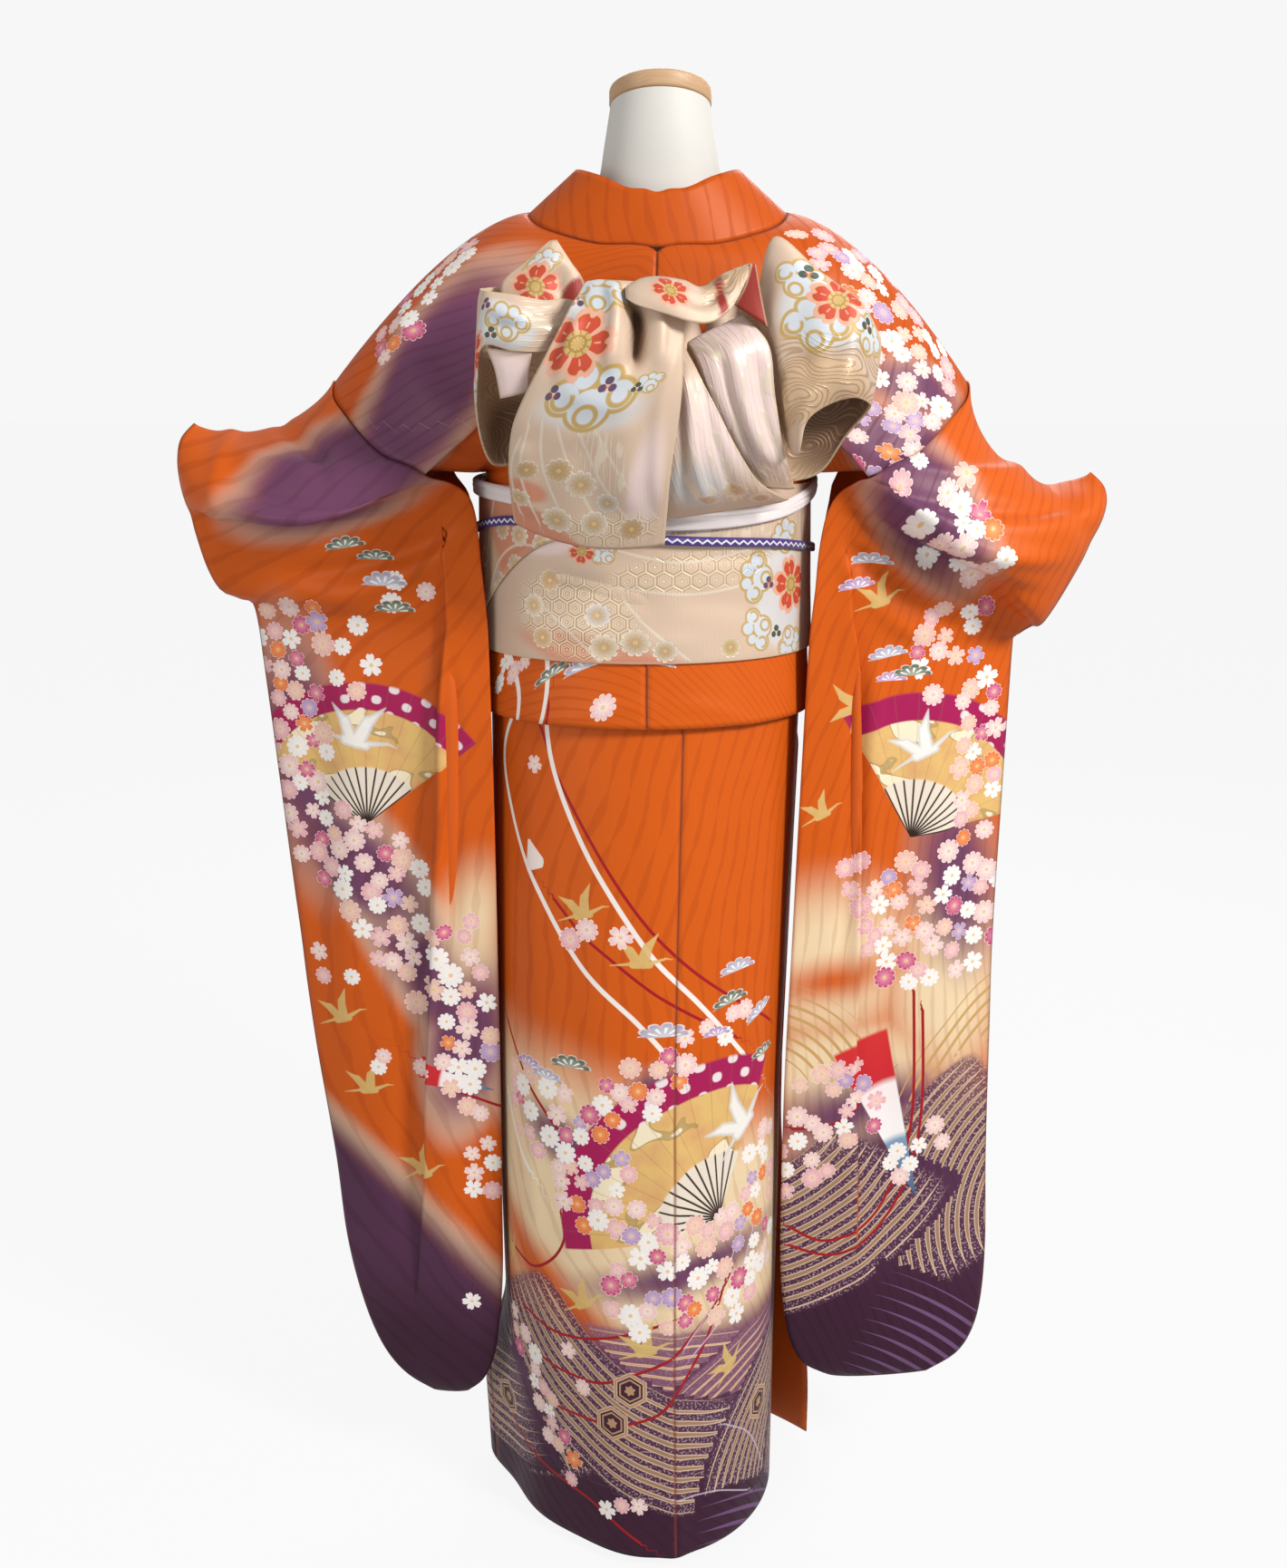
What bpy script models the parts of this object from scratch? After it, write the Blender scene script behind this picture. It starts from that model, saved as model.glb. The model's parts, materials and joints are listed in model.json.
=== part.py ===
# A furisode kimono with its tied sash, worn on a limbless dress form.
# Metres, +Z up. The back of the garment looks along -Y, the origin is on the floor under the form.
import math
from collections import namedtuple

import bpy
import numpy as np

CLOTH = 0.0015
SASH_CLOTH = 0.002
SEAM_GAP = 0.0003
HEM_Z = 0.013
SKIRT_TOP_Z = 1.03
TUCK_Z = 0.905
SASH_BOTTOM_Z = 0.968
SASH_TOP_Z = 1.132

# The round of the skirt at each height: left, right, back and front of its outer face.
Round = namedtuple("Round", "z left right back front")
TUBE = (
    Round(1.130, -0.157, 0.146, -0.119, 0.112),
    Round(1.030, -0.159, 0.148, -0.122, 0.113),
    Round(0.970, -0.161, 0.150, -0.125, 0.115),
    Round(0.900, -0.164, 0.153, -0.131, 0.118),
    Round(0.680, -0.165, 0.146, -0.145, 0.122),
    Round(0.500, -0.164, 0.141, -0.155, 0.124),
    Round(0.350, -0.163, 0.141, -0.165, 0.128),
    Round(0.200, -0.160, 0.139, -0.177, 0.133),
    Round(0.013, -0.152, 0.138, -0.189, 0.140),
)

# The wrapped cloth is one spiral: each turn lies this far outside the one below it.
SPIRAL_STEP = 0.003
UNDER_END = 165.0
OVER_END = -346.0
BACK_SEAM = -77.0
BODY_OUT = 0.0096
UNDER_FRONT_DROP = 0.0047
SASH_OUT = BODY_OUT + 0.0009 + 0.003


def along(table, where):
    # Values of a table at fractional row numbers, on a smooth curve through its rows.
    rows = np.asarray(table, float)
    last = len(rows) - 1
    where = np.clip(np.asarray(where, float), 0, last)
    low = np.minimum(where.astype(int), last - 1)
    f = (where - low)[..., None]
    before, here, after, beyond = (rows[np.clip(low + k, 0, last)] for k in (-1, 0, 1, 2))
    curve = 2 * here + (after - before) * f
    curve += (2 * before - 5 * here + 4 * after - beyond) * f**2
    curve += (3 * here - before - 3 * after + beyond) * f**3
    return curve / 2


def tube_at(z):
    # Centre and half sizes of the skirt's round at a height.
    table = np.array(TUBE)[::-1]
    left, right, back, front = (np.interp(z, table[:, 0], table[:, k]) for k in (1, 2, 3, 4))
    return (left + right) / 2, (back + front) / 2, (right - left) / 2, (front - back) / 2


def round_point(turn, z, out):
    # A point of the round: turn in degrees, 0 at +X, -90 at the back, moved out by out.
    cx, cy, wide, deep = tube_at(z)
    angle = np.radians(turn)
    x = cx + (wide + out) * np.cos(angle)
    y = cy + (deep + out) * np.sin(angle)
    return np.stack(np.broadcast_arrays(x, y, z), axis=-1)


def smooth_step(value):
    value = np.clip(value, 0, 1)
    return value * value * (3 - 2 * value)


def make_material(name, color, roughness, metallic=0.0):
    material = bpy.data.materials.new(name)
    material.use_nodes = True
    shader = material.node_tree.nodes["Principled BSDF"]
    shader.inputs["Base Color"].default_value = (*color, 1)
    shader.inputs["Roughness"].default_value = roughness
    shader.inputs["Metallic"].default_value = metallic
    return material


def finish(name, mesh, material):
    mesh.materials.append(material)
    obj = bpy.data.objects.new(name, mesh)
    garment.objects.link(obj)
    mesh.shade_smooth()
    return obj


def mesh_from(name, points, faces):
    mesh = bpy.data.meshes.new(name)
    mesh.from_pydata([tuple(p) for p in points], [], faces)
    mesh.update()
    return mesh


def grid_faces(rows, columns, start=0, closed=False, flip=False):
    # Four-sided faces between the rows and columns of a grid of points.
    faces = []
    for i in range(rows - 1):
        for j in range(columns if closed else columns - 1):
            after = (j + 1) % columns
            corners = [i * columns + j, i * columns + after, (i + 1) * columns + after, (i + 1) * columns + j]
            faces.append([start + c for c in (corners[::-1] if flip else corners)])
    return faces


def vertex_normals(points, faces):
    # Unit normals at the points, from the faces round each, larger faces counting for more.
    corners = np.array(faces)
    a, b, c, d = (points[corners[:, k]] for k in range(4))
    face = np.cross(c - a, d - b)
    normals = np.zeros_like(points)
    for k in range(4):
        np.add.at(normals, corners[:, k], face)
    return normals / np.maximum(np.linalg.norm(normals, axis=1), 1e-12)[:, None]


def thicken(name, points, normals, faces, material, inward=CLOTH, outward=0.0):
    # A closed wall: the faces moved out and in along the normals, joined round every open edge.
    count = len(points)
    used = {(f[k], f[(k + 1) % 4]) for f in faces for k in range(4)}
    walls = [list(f) for f in faces]
    walls += [[count + c for c in f[::-1]] for f in faces]
    walls += [[b, a, count + a, count + b] for a, b in used if (b, a) not in used]
    both = np.concatenate([points + normals * outward, points - normals * inward])
    return finish(name, mesh_from(name, both, walls), material)


def wall(name, points, material, inward=CLOTH, outward=0.0, closed=False, flip=False, normals=None):
    # A wall through a grid of points.
    rows, columns = points.shape[:2]
    faces = grid_faces(rows, columns, 0, closed, flip)
    points = points.reshape(-1, 3)
    if normals is None:
        normals = vertex_normals(points, faces)
    thicken(name, points, normals.reshape(-1, 3), faces, material, inward, outward)


def wide_normals(wide, flip=False):
    # Normals of a grid that was made one column too wide on both sides, for the columns between.
    rows, columns = wide.shape[:2]
    normals = vertex_normals(wide.reshape(-1, 3), grid_faces(rows, columns, 0, flip=flip))
    return normals.reshape(rows, columns, 3)[:, 1:-1]


def stack(name, rings, material):
    # A closed solid through a stack of rings, with a flat cap at each end.
    count, sides = rings.shape[:2]
    faces = grid_faces(count, sides, 0, closed=True)
    faces.append(list(range(sides))[::-1])
    faces.append([(count - 1) * sides + k for k in range(sides)])
    return finish(name, mesh_from(name, rings.reshape(-1, 3), faces), material)


# Form

Section = namedtuple("Section", "z x y wide deep")
TORSO = (
    Section(0.720, -0.006, -0.002, 0.115, 0.085),
    Section(0.745, -0.006, -0.003, 0.134, 0.100),
    Section(0.850, -0.006, -0.004, 0.143, 0.106),
    Section(0.960, -0.0057, -0.0058, 0.1512, 0.1166),
    Section(1.030, -0.0055, -0.0045, 0.1490, 0.1130),
    Section(1.100, -0.005, -0.004, 0.146, 0.106),
    Section(1.200, -0.003, -0.004, 0.150, 0.100),
    Section(1.280, 0.001, -0.003, 0.158, 0.083),
    Section(1.325, 0.004, -0.004, 0.152, 0.066),
    Section(1.352, 0.005, -0.005, 0.122, 0.054),
    Section(1.370, 0.006, -0.005, 0.092, 0.050),
    Section(1.388, 0.007, -0.004, 0.072, 0.050),
    Section(1.412, 0.008, -0.004, 0.060, 0.050),
    Section(1.445, 0.008, -0.006, 0.0535, 0.050),
    Section(1.480, 0.008, -0.008, 0.0475, 0.046),
)
TORSO_SIDES = 24
NECK_TILT = math.radians(15)
CAP_THICKNESS = 0.016
POLE_RADIUS = 0.0125
BASE_RADIUS = 0.125
BASE_THICKNESS = 0.010


def ring_of(section, tilt=0.0):
    # A level oval, or one whose back is lifted by the tilt.
    angles = np.linspace(0, 2 * math.pi, TORSO_SIDES, endpoint=False)
    x = section.x + section.wide * np.cos(angles)
    y = section.deep * np.sin(angles)
    z = section.z - y * math.tan(tilt)
    return np.stack([x, section.y + y, z], axis=-1)


def build_form():
    tilts = [NECK_TILT * smooth_step((s.z - 1.40) / 0.07) for s in TORSO]
    rings = np.array([ring_of(s, t) for s, t in zip(TORSO, tilts)])
    stack("form_torso", rings, mats["form"])
    top = TORSO[-1]
    cap = []
    for rise, inset in ((0, 0.0020), (0.002, 0), (CAP_THICKNESS - 0.003, 0), (CAP_THICKNESS, 0.003)):
        z = top.z + SEAM_GAP + rise
        cap.append(ring_of(Section(z, top.x, top.y, top.wide + 0.001 - inset, top.deep + 0.001 - inset), NECK_TILT))
    stack("form_cap", np.array(cap), mats["wood"])
    pole_low = BASE_THICKNESS + SEAM_GAP
    pole_high = TORSO[0].z - SEAM_GAP
    bpy.ops.mesh.primitive_cylinder_add(
        vertices=20, radius=POLE_RADIUS, depth=pole_high - pole_low, location=(0, 0, (pole_low + pole_high) / 2)
    )
    adopt("form_pole", mats["metal"])
    bpy.ops.mesh.primitive_cylinder_add(
        vertices=36, radius=BASE_RADIUS, depth=BASE_THICKNESS, location=(0, 0, BASE_THICKNESS / 2)
    )
    adopt("form_base", mats["metal"])


def adopt(name, material):
    # Names the new primitive and moves it into the garment's collection.
    obj = bpy.context.active_object
    obj.name = name
    obj.data.name = name
    obj.data.materials.append(material)
    for collection in obj.users_collection:
        collection.objects.unlink(obj)
    garment.objects.link(obj)
    obj.data.shade_smooth()
    obj.data.set_sharp_from_angle(angle=math.radians(40))
    return obj


# Skirt: the wrapped part below the tuck

HEM_FLARE = 0.036
EDGE_STANDS_OUT = 0.044
HEM_NARROWS = 0.012
SKIRT_ROWS = (SKIRT_TOP_Z, 0.97, 0.90, 0.70, 0.50, 0.35, 0.22, 0.15, 0.08, HEM_Z)


def skirt_out(turn, z):
    # How far the outer face lies outside the round, by the turn of the spiral and the flares at the hem.
    out = SPIRAL_STEP * (UNDER_END - turn) / 360 - 0.0021
    side = np.exp(-(((turn + 190) / 16) ** 2)) * smooth_step((0.25 - z) / 0.13) * HEM_FLARE
    edge = np.clip((-300 - turn) / 46, 0, 1) ** 2 * smooth_step((0.90 - z) / 0.05)
    edge = edge * (0.008 + EDGE_STANDS_OUT * smooth_step((0.45 - z) / 0.4))
    narrow = np.exp(-(((turn + 122) / 24) ** 2)) * smooth_step((0.5 - z) / 0.45) * HEM_NARROWS
    return out + side + edge - narrow


def skirt_piece(name, start, end, columns):
    # One width of the skirt between two turns, from the tuck to the hem.
    gap = math.degrees(SEAM_GAP / 2 / 0.14)
    turns = np.linspace(start - gap, end + gap, columns)
    step = turns[1] - turns[0]
    turns = np.concatenate([[turns[0] - step], turns, [turns[-1] + step]])[None, :]
    z = np.array(SKIRT_ROWS)[:, None]
    points = round_point(turns, z, skirt_out(turns, z))
    wall(name, points[:, 1:-1], mats["silk"], normals=wide_normals(points))


def build_skirt():
    skirt_piece("overlap_right", UNDER_END, 128, 5)
    skirt_piece("skirt_front_right", 128, 0, 14)
    skirt_piece("skirt_back_right", 0, BACK_SEAM, 9)
    skirt_piece("skirt_back_left", BACK_SEAM, -180, 12)
    skirt_piece("skirt_front_left", -180, -300, 14)
    skirt_piece("overlap_left", -300, OVER_END, 7)


# Body: each side is one width from the back tuck over the shoulder to the front tuck

BodyRow = namedtuple("BodyRow", "z_in z_out turn_in turn_out wide_in wide_out deep_in deep_out bend")


def tube_row(z, turn_in, turn_out):
    # A row that runs level round the skirt's own round, BODY_OUT outside it.
    _, _, wide, deep = tube_at(z)
    wide += BODY_OUT
    deep += BODY_OUT
    return BodyRow(z, z, turn_in, turn_out, wide, wide, deep, deep, 1)


SIDE_GAP = math.degrees(SEAM_GAP / 2 / 0.13)
BODY_ROWS = (
    tube_row(TUCK_Z, -90, -SIDE_GAP),
    tube_row(0.93, -90, -SIDE_GAP),
    tube_row(0.972, -90, -SIDE_GAP),
    tube_row(1.03, -90, -SIDE_GAP),
    tube_row(1.134, -90, -SIDE_GAP),
    BodyRow(1.165, 1.140, -90, -8, 0.188, 0.1620, 0.1255, 0.122, 1),
    BodyRow(1.220, 1.143, -90, -32, 0.215, 0.200, 0.118, 0.120, 1),
    BodyRow(1.285, 1.146, -90, -46, 0.220, 0.300, 0.105, 0.120, 1.2),
    BodyRow(1.345, 1.143, -90, -56, 0.207, 0.380, 0.088, 0.120, 1.4),
    BodyRow(1.353, 1.161, -73, -45, 0.197, 0.358, 0.082, 0.120, 1.7),
    BodyRow(1.366, 1.190, -54, -32, 0.175, 0.338, 0.070, 0.113, 2),
    BodyRow(1.380, 1.208, -30, -20, 0.142, 0.325, 0.055, 0.105, 1.7),
    BodyRow(1.386, 1.228, 0, 0, 0.120, 0.312, 0.050, 0.100, 1.6),
    BodyRow(1.372, 1.208, 38, 20, 0.130, 0.325, 0.050, 0.100, 1.7),
    BodyRow(1.335, 1.190, 62, 32, 0.170, 0.338, 0.080, 0.108, 1.8),
    BodyRow(1.290, 1.161, 78, 45, 0.210, 0.358, 0.100, 0.112, 1.5),
    BodyRow(1.245, 1.143, 88, 56, 0.220, 0.380, 0.112, 0.112, 1.2),
    BodyRow(1.200, 1.143, 97, 32, 0.215, 0.200, 0.119, 0.116, 1),
    BodyRow(1.168, 1.140, 102, 8, 0.190, 0.1620, 0.121, 0.117, 1),
    tube_row(1.134, 106, SIDE_GAP),
    tube_row(1.03, 112, SIDE_GAP),
    tube_row(0.972, 118, SIDE_GAP),
    tube_row(0.93, 124, SIDE_GAP),
    tube_row(TUCK_Z, 128, SIDE_GAP),
)
COLLAR_START = 8
RIDGE = 12
COLLAR_END = 19
ARMHOLE_ROWS = 4
BODY_COLUMNS = 11
# The body's axis at each height.
Axis = namedtuple("Axis", "z x y")
AXIS = (
    Axis(0.900, -0.0055, -0.0065),
    Axis(0.970, -0.0055, -0.0050),
    Axis(1.134, -0.0055, -0.0036),
    Axis(1.220, -0.0010, 0.0000),
    Axis(1.300, 0.0030, 0.0000),
    Axis(1.400, 0.0060, 0.0000),
)


def axis_at(z):
    heights = [a.z for a in AXIS]
    return np.interp(z, heights, [a.x for a in AXIS]), np.interp(z, heights, [a.y for a in AXIS])


def body_point(side, row, across):
    # A point of a body width: row numbers run over the shoulder, across goes from the middle to the side.
    values = along(BODY_ROWS, row)
    z_in, z_out, turn_in, turn_out, wide_in, wide_out, deep_in, deep_out, bend = np.moveaxis(values, -1, 0)
    turn_in = np.maximum(turn_in, -90)
    turn = np.radians(turn_in + (turn_out - turn_in) * across)
    reach = np.maximum(across, 0) ** bend
    z = z_in + (z_out - z_in) * reach
    under = UNDER_FRONT_DROP * (1 - np.clip(across, 0, 1) ** 4) * smooth_step((row - RIDGE) / 3)
    drop = under if side > 0 else 0
    wide = wide_in + (wide_out - wide_in) * across - drop
    deep = deep_in + (deep_out - deep_in) * across - drop
    axis_x, axis_y = axis_at(z)
    x = axis_x + side * wide * np.cos(turn)
    y = axis_y + deep * np.sin(turn)
    return np.stack(np.broadcast_arrays(x, y, z), axis=-1)


BODY_STEPS = (*range(8), *np.arange(8, 16.1, 0.5), 17, 18, 18.5, *range(19, len(BODY_ROWS)))


def body_grid(side):
    # The points of a body width and their normals.
    across = np.linspace(0, 1, BODY_COLUMNS)
    across = np.concatenate([[-across[1]], across, [2 - across[-2]]])[None, :]
    rows = np.array(BODY_STEPS, float)[:, None]
    points = body_point(side, rows, across)
    return points[:, 1:-1], wide_normals(points, flip=side < 0)


def build_body():
    for name, side in (("body_left", -1), ("body_right", 1)):
        points, normals = body_grid(side)
        points = points.copy()
        points[np.array(BODY_STEPS) <= COLLAR_START, 0, 0] += side * SEAM_GAP / 2
        wall(name, points, mats["silk"], flip=side < 0, normals=normals)


# Collar: a folded band that follows the inner edge of the body, standing off the neck at the back

COLLAR_CLOTH = 0.003
COLLAR_GAP = 0.0005
# For each body row from the centre back to the sash: how the band's free edge lies from its seam.
Rise = namedtuple("Rise", "x y z belly")
COLLAR_RISE = (
    Rise(0.000, 0.010, 0.049, 0.000),
    Rise(-0.029, 0.005, 0.050, 0.000),
    Rise(-0.048, -0.003, 0.049, 0.000),
    Rise(-0.048, -0.008, 0.042, 0.000),
    Rise(-0.040, -0.004, 0.035, 0.000),
    Rise(-0.030, 0.000, 0.036, 0.001),
    Rise(-0.036, 0.004, 0.028, 0.001),
    Rise(-0.044, -0.002, 0.026, 0.000),
    Rise(-0.047, -0.0078, 0.026, -0.0007),
    Rise(-0.048, -0.0100, 0.020, -0.0002),
    Rise(-0.050, -0.0110, 0.010, -0.0005),
    Rise(-0.052, -0.0205, 0.000, 0.0025),
)


def collar_points(side, columns):
    # The outer face of one half of the band, from the centre back to the sash, and its seam's normals.
    rows = np.array([r for r in BODY_STEPS if COLLAR_START <= r <= COLLAR_END])
    points, normals = body_grid(side)
    first = BODY_STEPS.index(COLLAR_START)
    chosen = slice(first, first + len(rows))
    seam_line = points[chosen, 0]
    off = np.cross(np.gradient(seam_line, axis=0), normals[chosen, 0]) * -side
    off /= np.linalg.norm(off, axis=-1)[:, None]
    seam = seam_line + off * COLLAR_GAP
    rise = along(COLLAR_RISE, rows - COLLAR_START) * (side, 1, 1, 1)
    share = np.linspace(0, 1, columns)[None, :, None]
    band = seam[:, None, :] + rise[:, None, :3] * share
    band[..., 1] += (rise[:, None, 3:] * 4 * share * (1 - share))[..., 0]
    return band, normals[chosen, 0]


def build_collar():
    left, left_normals = collar_points(-1, 4)
    right, right_normals = collar_points(1, 4)
    middle = (left[0] + right[0]) / 2
    points = np.concatenate([left[:0:-1], middle[None], right[1:]])
    seam_normals = np.concatenate([left_normals[:0:-1], left_normals[:1], right_normals[1:]])
    seam_normals[:, 0] *= np.where(np.arange(len(points)) == len(left) - 1, 0, 1)
    rows, columns = points.shape[:2]
    faces = grid_faces(rows, columns, 0, flip=True)
    normals = vertex_normals(points.reshape(-1, 3), faces).reshape(rows, columns, 3)
    normals[:, 0] = seam_normals / np.linalg.norm(seam_normals, axis=-1)[:, None]
    wall("collar", points, mats["silk"], COLLAR_CLOTH, flip=True, normals=normals)


# Sleeves: flat bags, open at the cuff and along the inner edge, with a swag at the top

SleeveRow = namedtuple("SleeveRow", "x_front x_back z_in y_in half_in x_out z_out y_out half_out sag puff")
# The first five rows start on the armhole, so their inner values are not used.
SLEEVE_LEFT = (
    SleeveRow(0, 0, 0, 0, 0, -0.457, 1.186, 0.000, 0.000, 0.027, 0.000),
    SleeveRow(0, 0, 0, 0, 0, -0.465, 1.172, 0.000, 0.018, 0.032, 0.027),
    SleeveRow(0, 0, 0, 0, 0, -0.466, 1.152, 0.000, 0.030, 0.040, 0.042),
    SleeveRow(0, 0, 0, 0, 0, -0.463, 1.130, 0.000, 0.036, 0.037, 0.048),
    SleeveRow(0, 0, 0, 0, 0, -0.460, 1.113, 0.000, 0.034, 0.027, 0.044),
    SleeveRow(-0.200, -0.184, 1.129, -0.005, 0.073, -0.457, 1.100, 0.000, 0.029, 0.010, 0.020),
    SleeveRow(-0.187, -0.171, 1.106, -0.010, 0.063, -0.454, 1.080, 0.000, 0.026, 0.010, 0.015),
    SleeveRow(-0.181, -0.166, 1.050, -0.016, 0.056, -0.446, 1.046, 0.000, 0.021, 0.006, 0.014),
    SleeveRow(-0.179, -0.163, 1.018, -0.022, 0.050, -0.435, 1.023, 0.000, 0.016, 0.003, 0.013),
    SleeveRow(-0.178, -0.162, 1.004, -0.026, 0.046, -0.418, 1.014, 0.000, 0.010, 0.002, 0.013),
    SleeveRow(-0.178, -0.161, 0.985, -0.028, 0.044, -0.405, 1.002, 0.000, 0.000, 0.003, 0.013),
    SleeveRow(-0.177, -0.160, 0.920, -0.030, 0.042, -0.398, 0.935, 0.000, 0.000, 0.002, 0.013),
    SleeveRow(-0.176, -0.159, 0.790, -0.032, 0.040, -0.387, 0.800, -0.002, 0.000, 0.000, 0.013),
    SleeveRow(-0.175, -0.159, 0.650, -0.035, 0.037, -0.376, 0.665, -0.005, 0.000, 0.000, 0.013),
    SleeveRow(-0.174, -0.159, 0.520, -0.038, 0.034, -0.364, 0.535, -0.010, 0.000, 0.000, 0.012),
    SleeveRow(-0.173, -0.160, 0.390, -0.042, 0.031, -0.347, 0.400, -0.016, 0.000, 0.000, 0.012),
    SleeveRow(-0.174, -0.161, 0.291, -0.046, 0.027, -0.337, 0.301, -0.024, 0.000, 0.000, 0.011),
    SleeveRow(-0.177, -0.166, 0.226, -0.050, 0.022, -0.321, 0.228, -0.032, 0.000, 0.002, 0.010),
    SleeveRow(-0.180, -0.173, 0.181, -0.053, 0.016, -0.301, 0.175, -0.038, 0.000, 0.004, 0.008),
    SleeveRow(-0.189, -0.186, 0.149, -0.056, 0.009, -0.276, 0.143, -0.044, 0.000, 0.004, 0.005),
    SleeveRow(-0.205, -0.205, 0.129, -0.058, 0.000, -0.244, 0.125, -0.050, 0.000, 0.002, 0.000),
)
SLEEVE_RIGHT = (
    SleeveRow(0, 0, 0, 0, 0, 0.442, 1.138, 0.000, 0.000, 0.052, 0.000),
    SleeveRow(0, 0, 0, 0, 0, 0.452, 1.122, 0.000, 0.016, 0.046, 0.027),
    SleeveRow(0, 0, 0, 0, 0, 0.447, 1.096, 0.000, 0.030, 0.040, 0.042),
    SleeveRow(0, 0, 0, 0, 0, 0.422, 1.046, 0.000, 0.040, 0.020, 0.046),
    SleeveRow(0, 0, 0, 0, 0, 0.394, 0.996, 0.000, 0.040, -0.004, 0.044),
    SleeveRow(0.190, 0.184, 1.128, -0.005, 0.073, 0.386, 0.988, 0.000, 0.024, -0.006, 0.020),
    SleeveRow(0.184, 0.170, 1.106, -0.010, 0.063, 0.382, 0.984, 0.000, 0.017, -0.006, 0.015),
    SleeveRow(0.177, 0.163, 1.070, -0.016, 0.056, 0.379, 0.981, 0.000, 0.013, -0.004, 0.014),
    SleeveRow(0.174, 0.160, 1.030, -0.022, 0.050, 0.376, 0.978, 0.000, 0.010, -0.002, 0.013),
    SleeveRow(0.172, 0.157, 1.000, -0.026, 0.046, 0.373, 0.975, 0.000, 0.006, 0.000, 0.013),
    SleeveRow(0.171, 0.155, 0.970, -0.028, 0.044, 0.371, 0.966, 0.000, 0.000, 0.000, 0.013),
    SleeveRow(0.169, 0.153, 0.915, -0.030, 0.042, 0.370, 0.915, 0.000, 0.000, 0.000, 0.013),
    SleeveRow(0.166, 0.149, 0.790, -0.032, 0.040, 0.368, 0.800, -0.002, 0.000, 0.000, 0.013),
    SleeveRow(0.162, 0.145, 0.650, -0.035, 0.037, 0.366, 0.665, -0.005, 0.000, 0.000, 0.013),
    SleeveRow(0.157, 0.141, 0.520, -0.038, 0.034, 0.367, 0.535, -0.010, 0.000, 0.000, 0.012),
    SleeveRow(0.154, 0.140, 0.390, -0.042, 0.031, 0.369, 0.400, -0.016, 0.000, 0.000, 0.012),
    SleeveRow(0.153, 0.141, 0.296, -0.046, 0.027, 0.372, 0.299, -0.024, 0.000, 0.000, 0.011),
    SleeveRow(0.156, 0.146, 0.239, -0.050, 0.022, 0.369, 0.234, -0.032, 0.000, 0.001, 0.010),
    SleeveRow(0.162, 0.154, 0.199, -0.053, 0.016, 0.360, 0.194, -0.038, 0.000, 0.003, 0.008),
    SleeveRow(0.174, 0.169, 0.169, -0.056, 0.009, 0.342, 0.167, -0.044, 0.000, 0.004, 0.005),
    SleeveRow(0.196, 0.196, 0.151, -0.058, 0.000, 0.309, 0.149, -0.050, 0.000, 0.005, 0.000),
)
CUFF_END_ROW = 10
# A lengthwise pleat on the outer layer: fold position, overlap and strength at some rows.
Pleat = namedtuple("Pleat", "row place overlap")
PLEAT_LEFT = (Pleat(6, 0.06, 0.000), Pleat(9, 0.10, 0.020), Pleat(12, 0.19, 0.030), Pleat(14, 0.34, 0.024),
              Pleat(16, 0.52, 0.006), Pleat(17, 0.60, 0.000))
PLEAT_RIGHT = (Pleat(6, 0.10, 0.000), Pleat(9, 0.18, 0.008), Pleat(12, 0.27, 0.016), Pleat(14, 0.32, 0.012),
               Pleat(16, 0.36, 0.000), Pleat(17, 0.40, 0.000))
PLEAT_DEPTH = 0.0045
SLEEVE_COLUMNS = (0, 0.45, 0.80, 0.95, 1.0, 1.05, 1.20, 1.50, 1.8, 2.0)
SLEEVE_STEPS = (*np.arange(0, 4.1, 0.5), 5, 6, 7, 8, 9, 10, 12, 14, 15, 16, 17, 18, 19, 19.5, 20)
SLEEVE_GAP = 0.0006
FRONT_FULLNESS = 0.85
SAG_SKEW = {-1: 0.90, 1: 0.65}


def pleat_at(table, row):
    place = np.interp(row, [p.row for p in table], [p.place for p in table])
    overlap = np.interp(row, [p.row for p in table], [p.overlap for p in table])
    return place, overlap


def sleeve_share(pleats, row, step):
    # Column steps 0 to 2 become shares of the width, with step 1 on the fold of the pleat.
    place, _ = pleat_at(pleats, row)
    place = np.clip(place, 0.12, 0.6)
    return np.where(step <= 1, place * step, place + (1 - place) * (step - 1))


def armhole_edge(side, sign, rows):
    # The sleeve's edge along the armhole, as x, z and y.
    edge = body_point(side, RIDGE + sign * rows, 1.0)
    return np.stack([edge[:, 0] + side * SLEEVE_GAP, edge[:, 2], edge[:, 1]], axis=-1)


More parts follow.
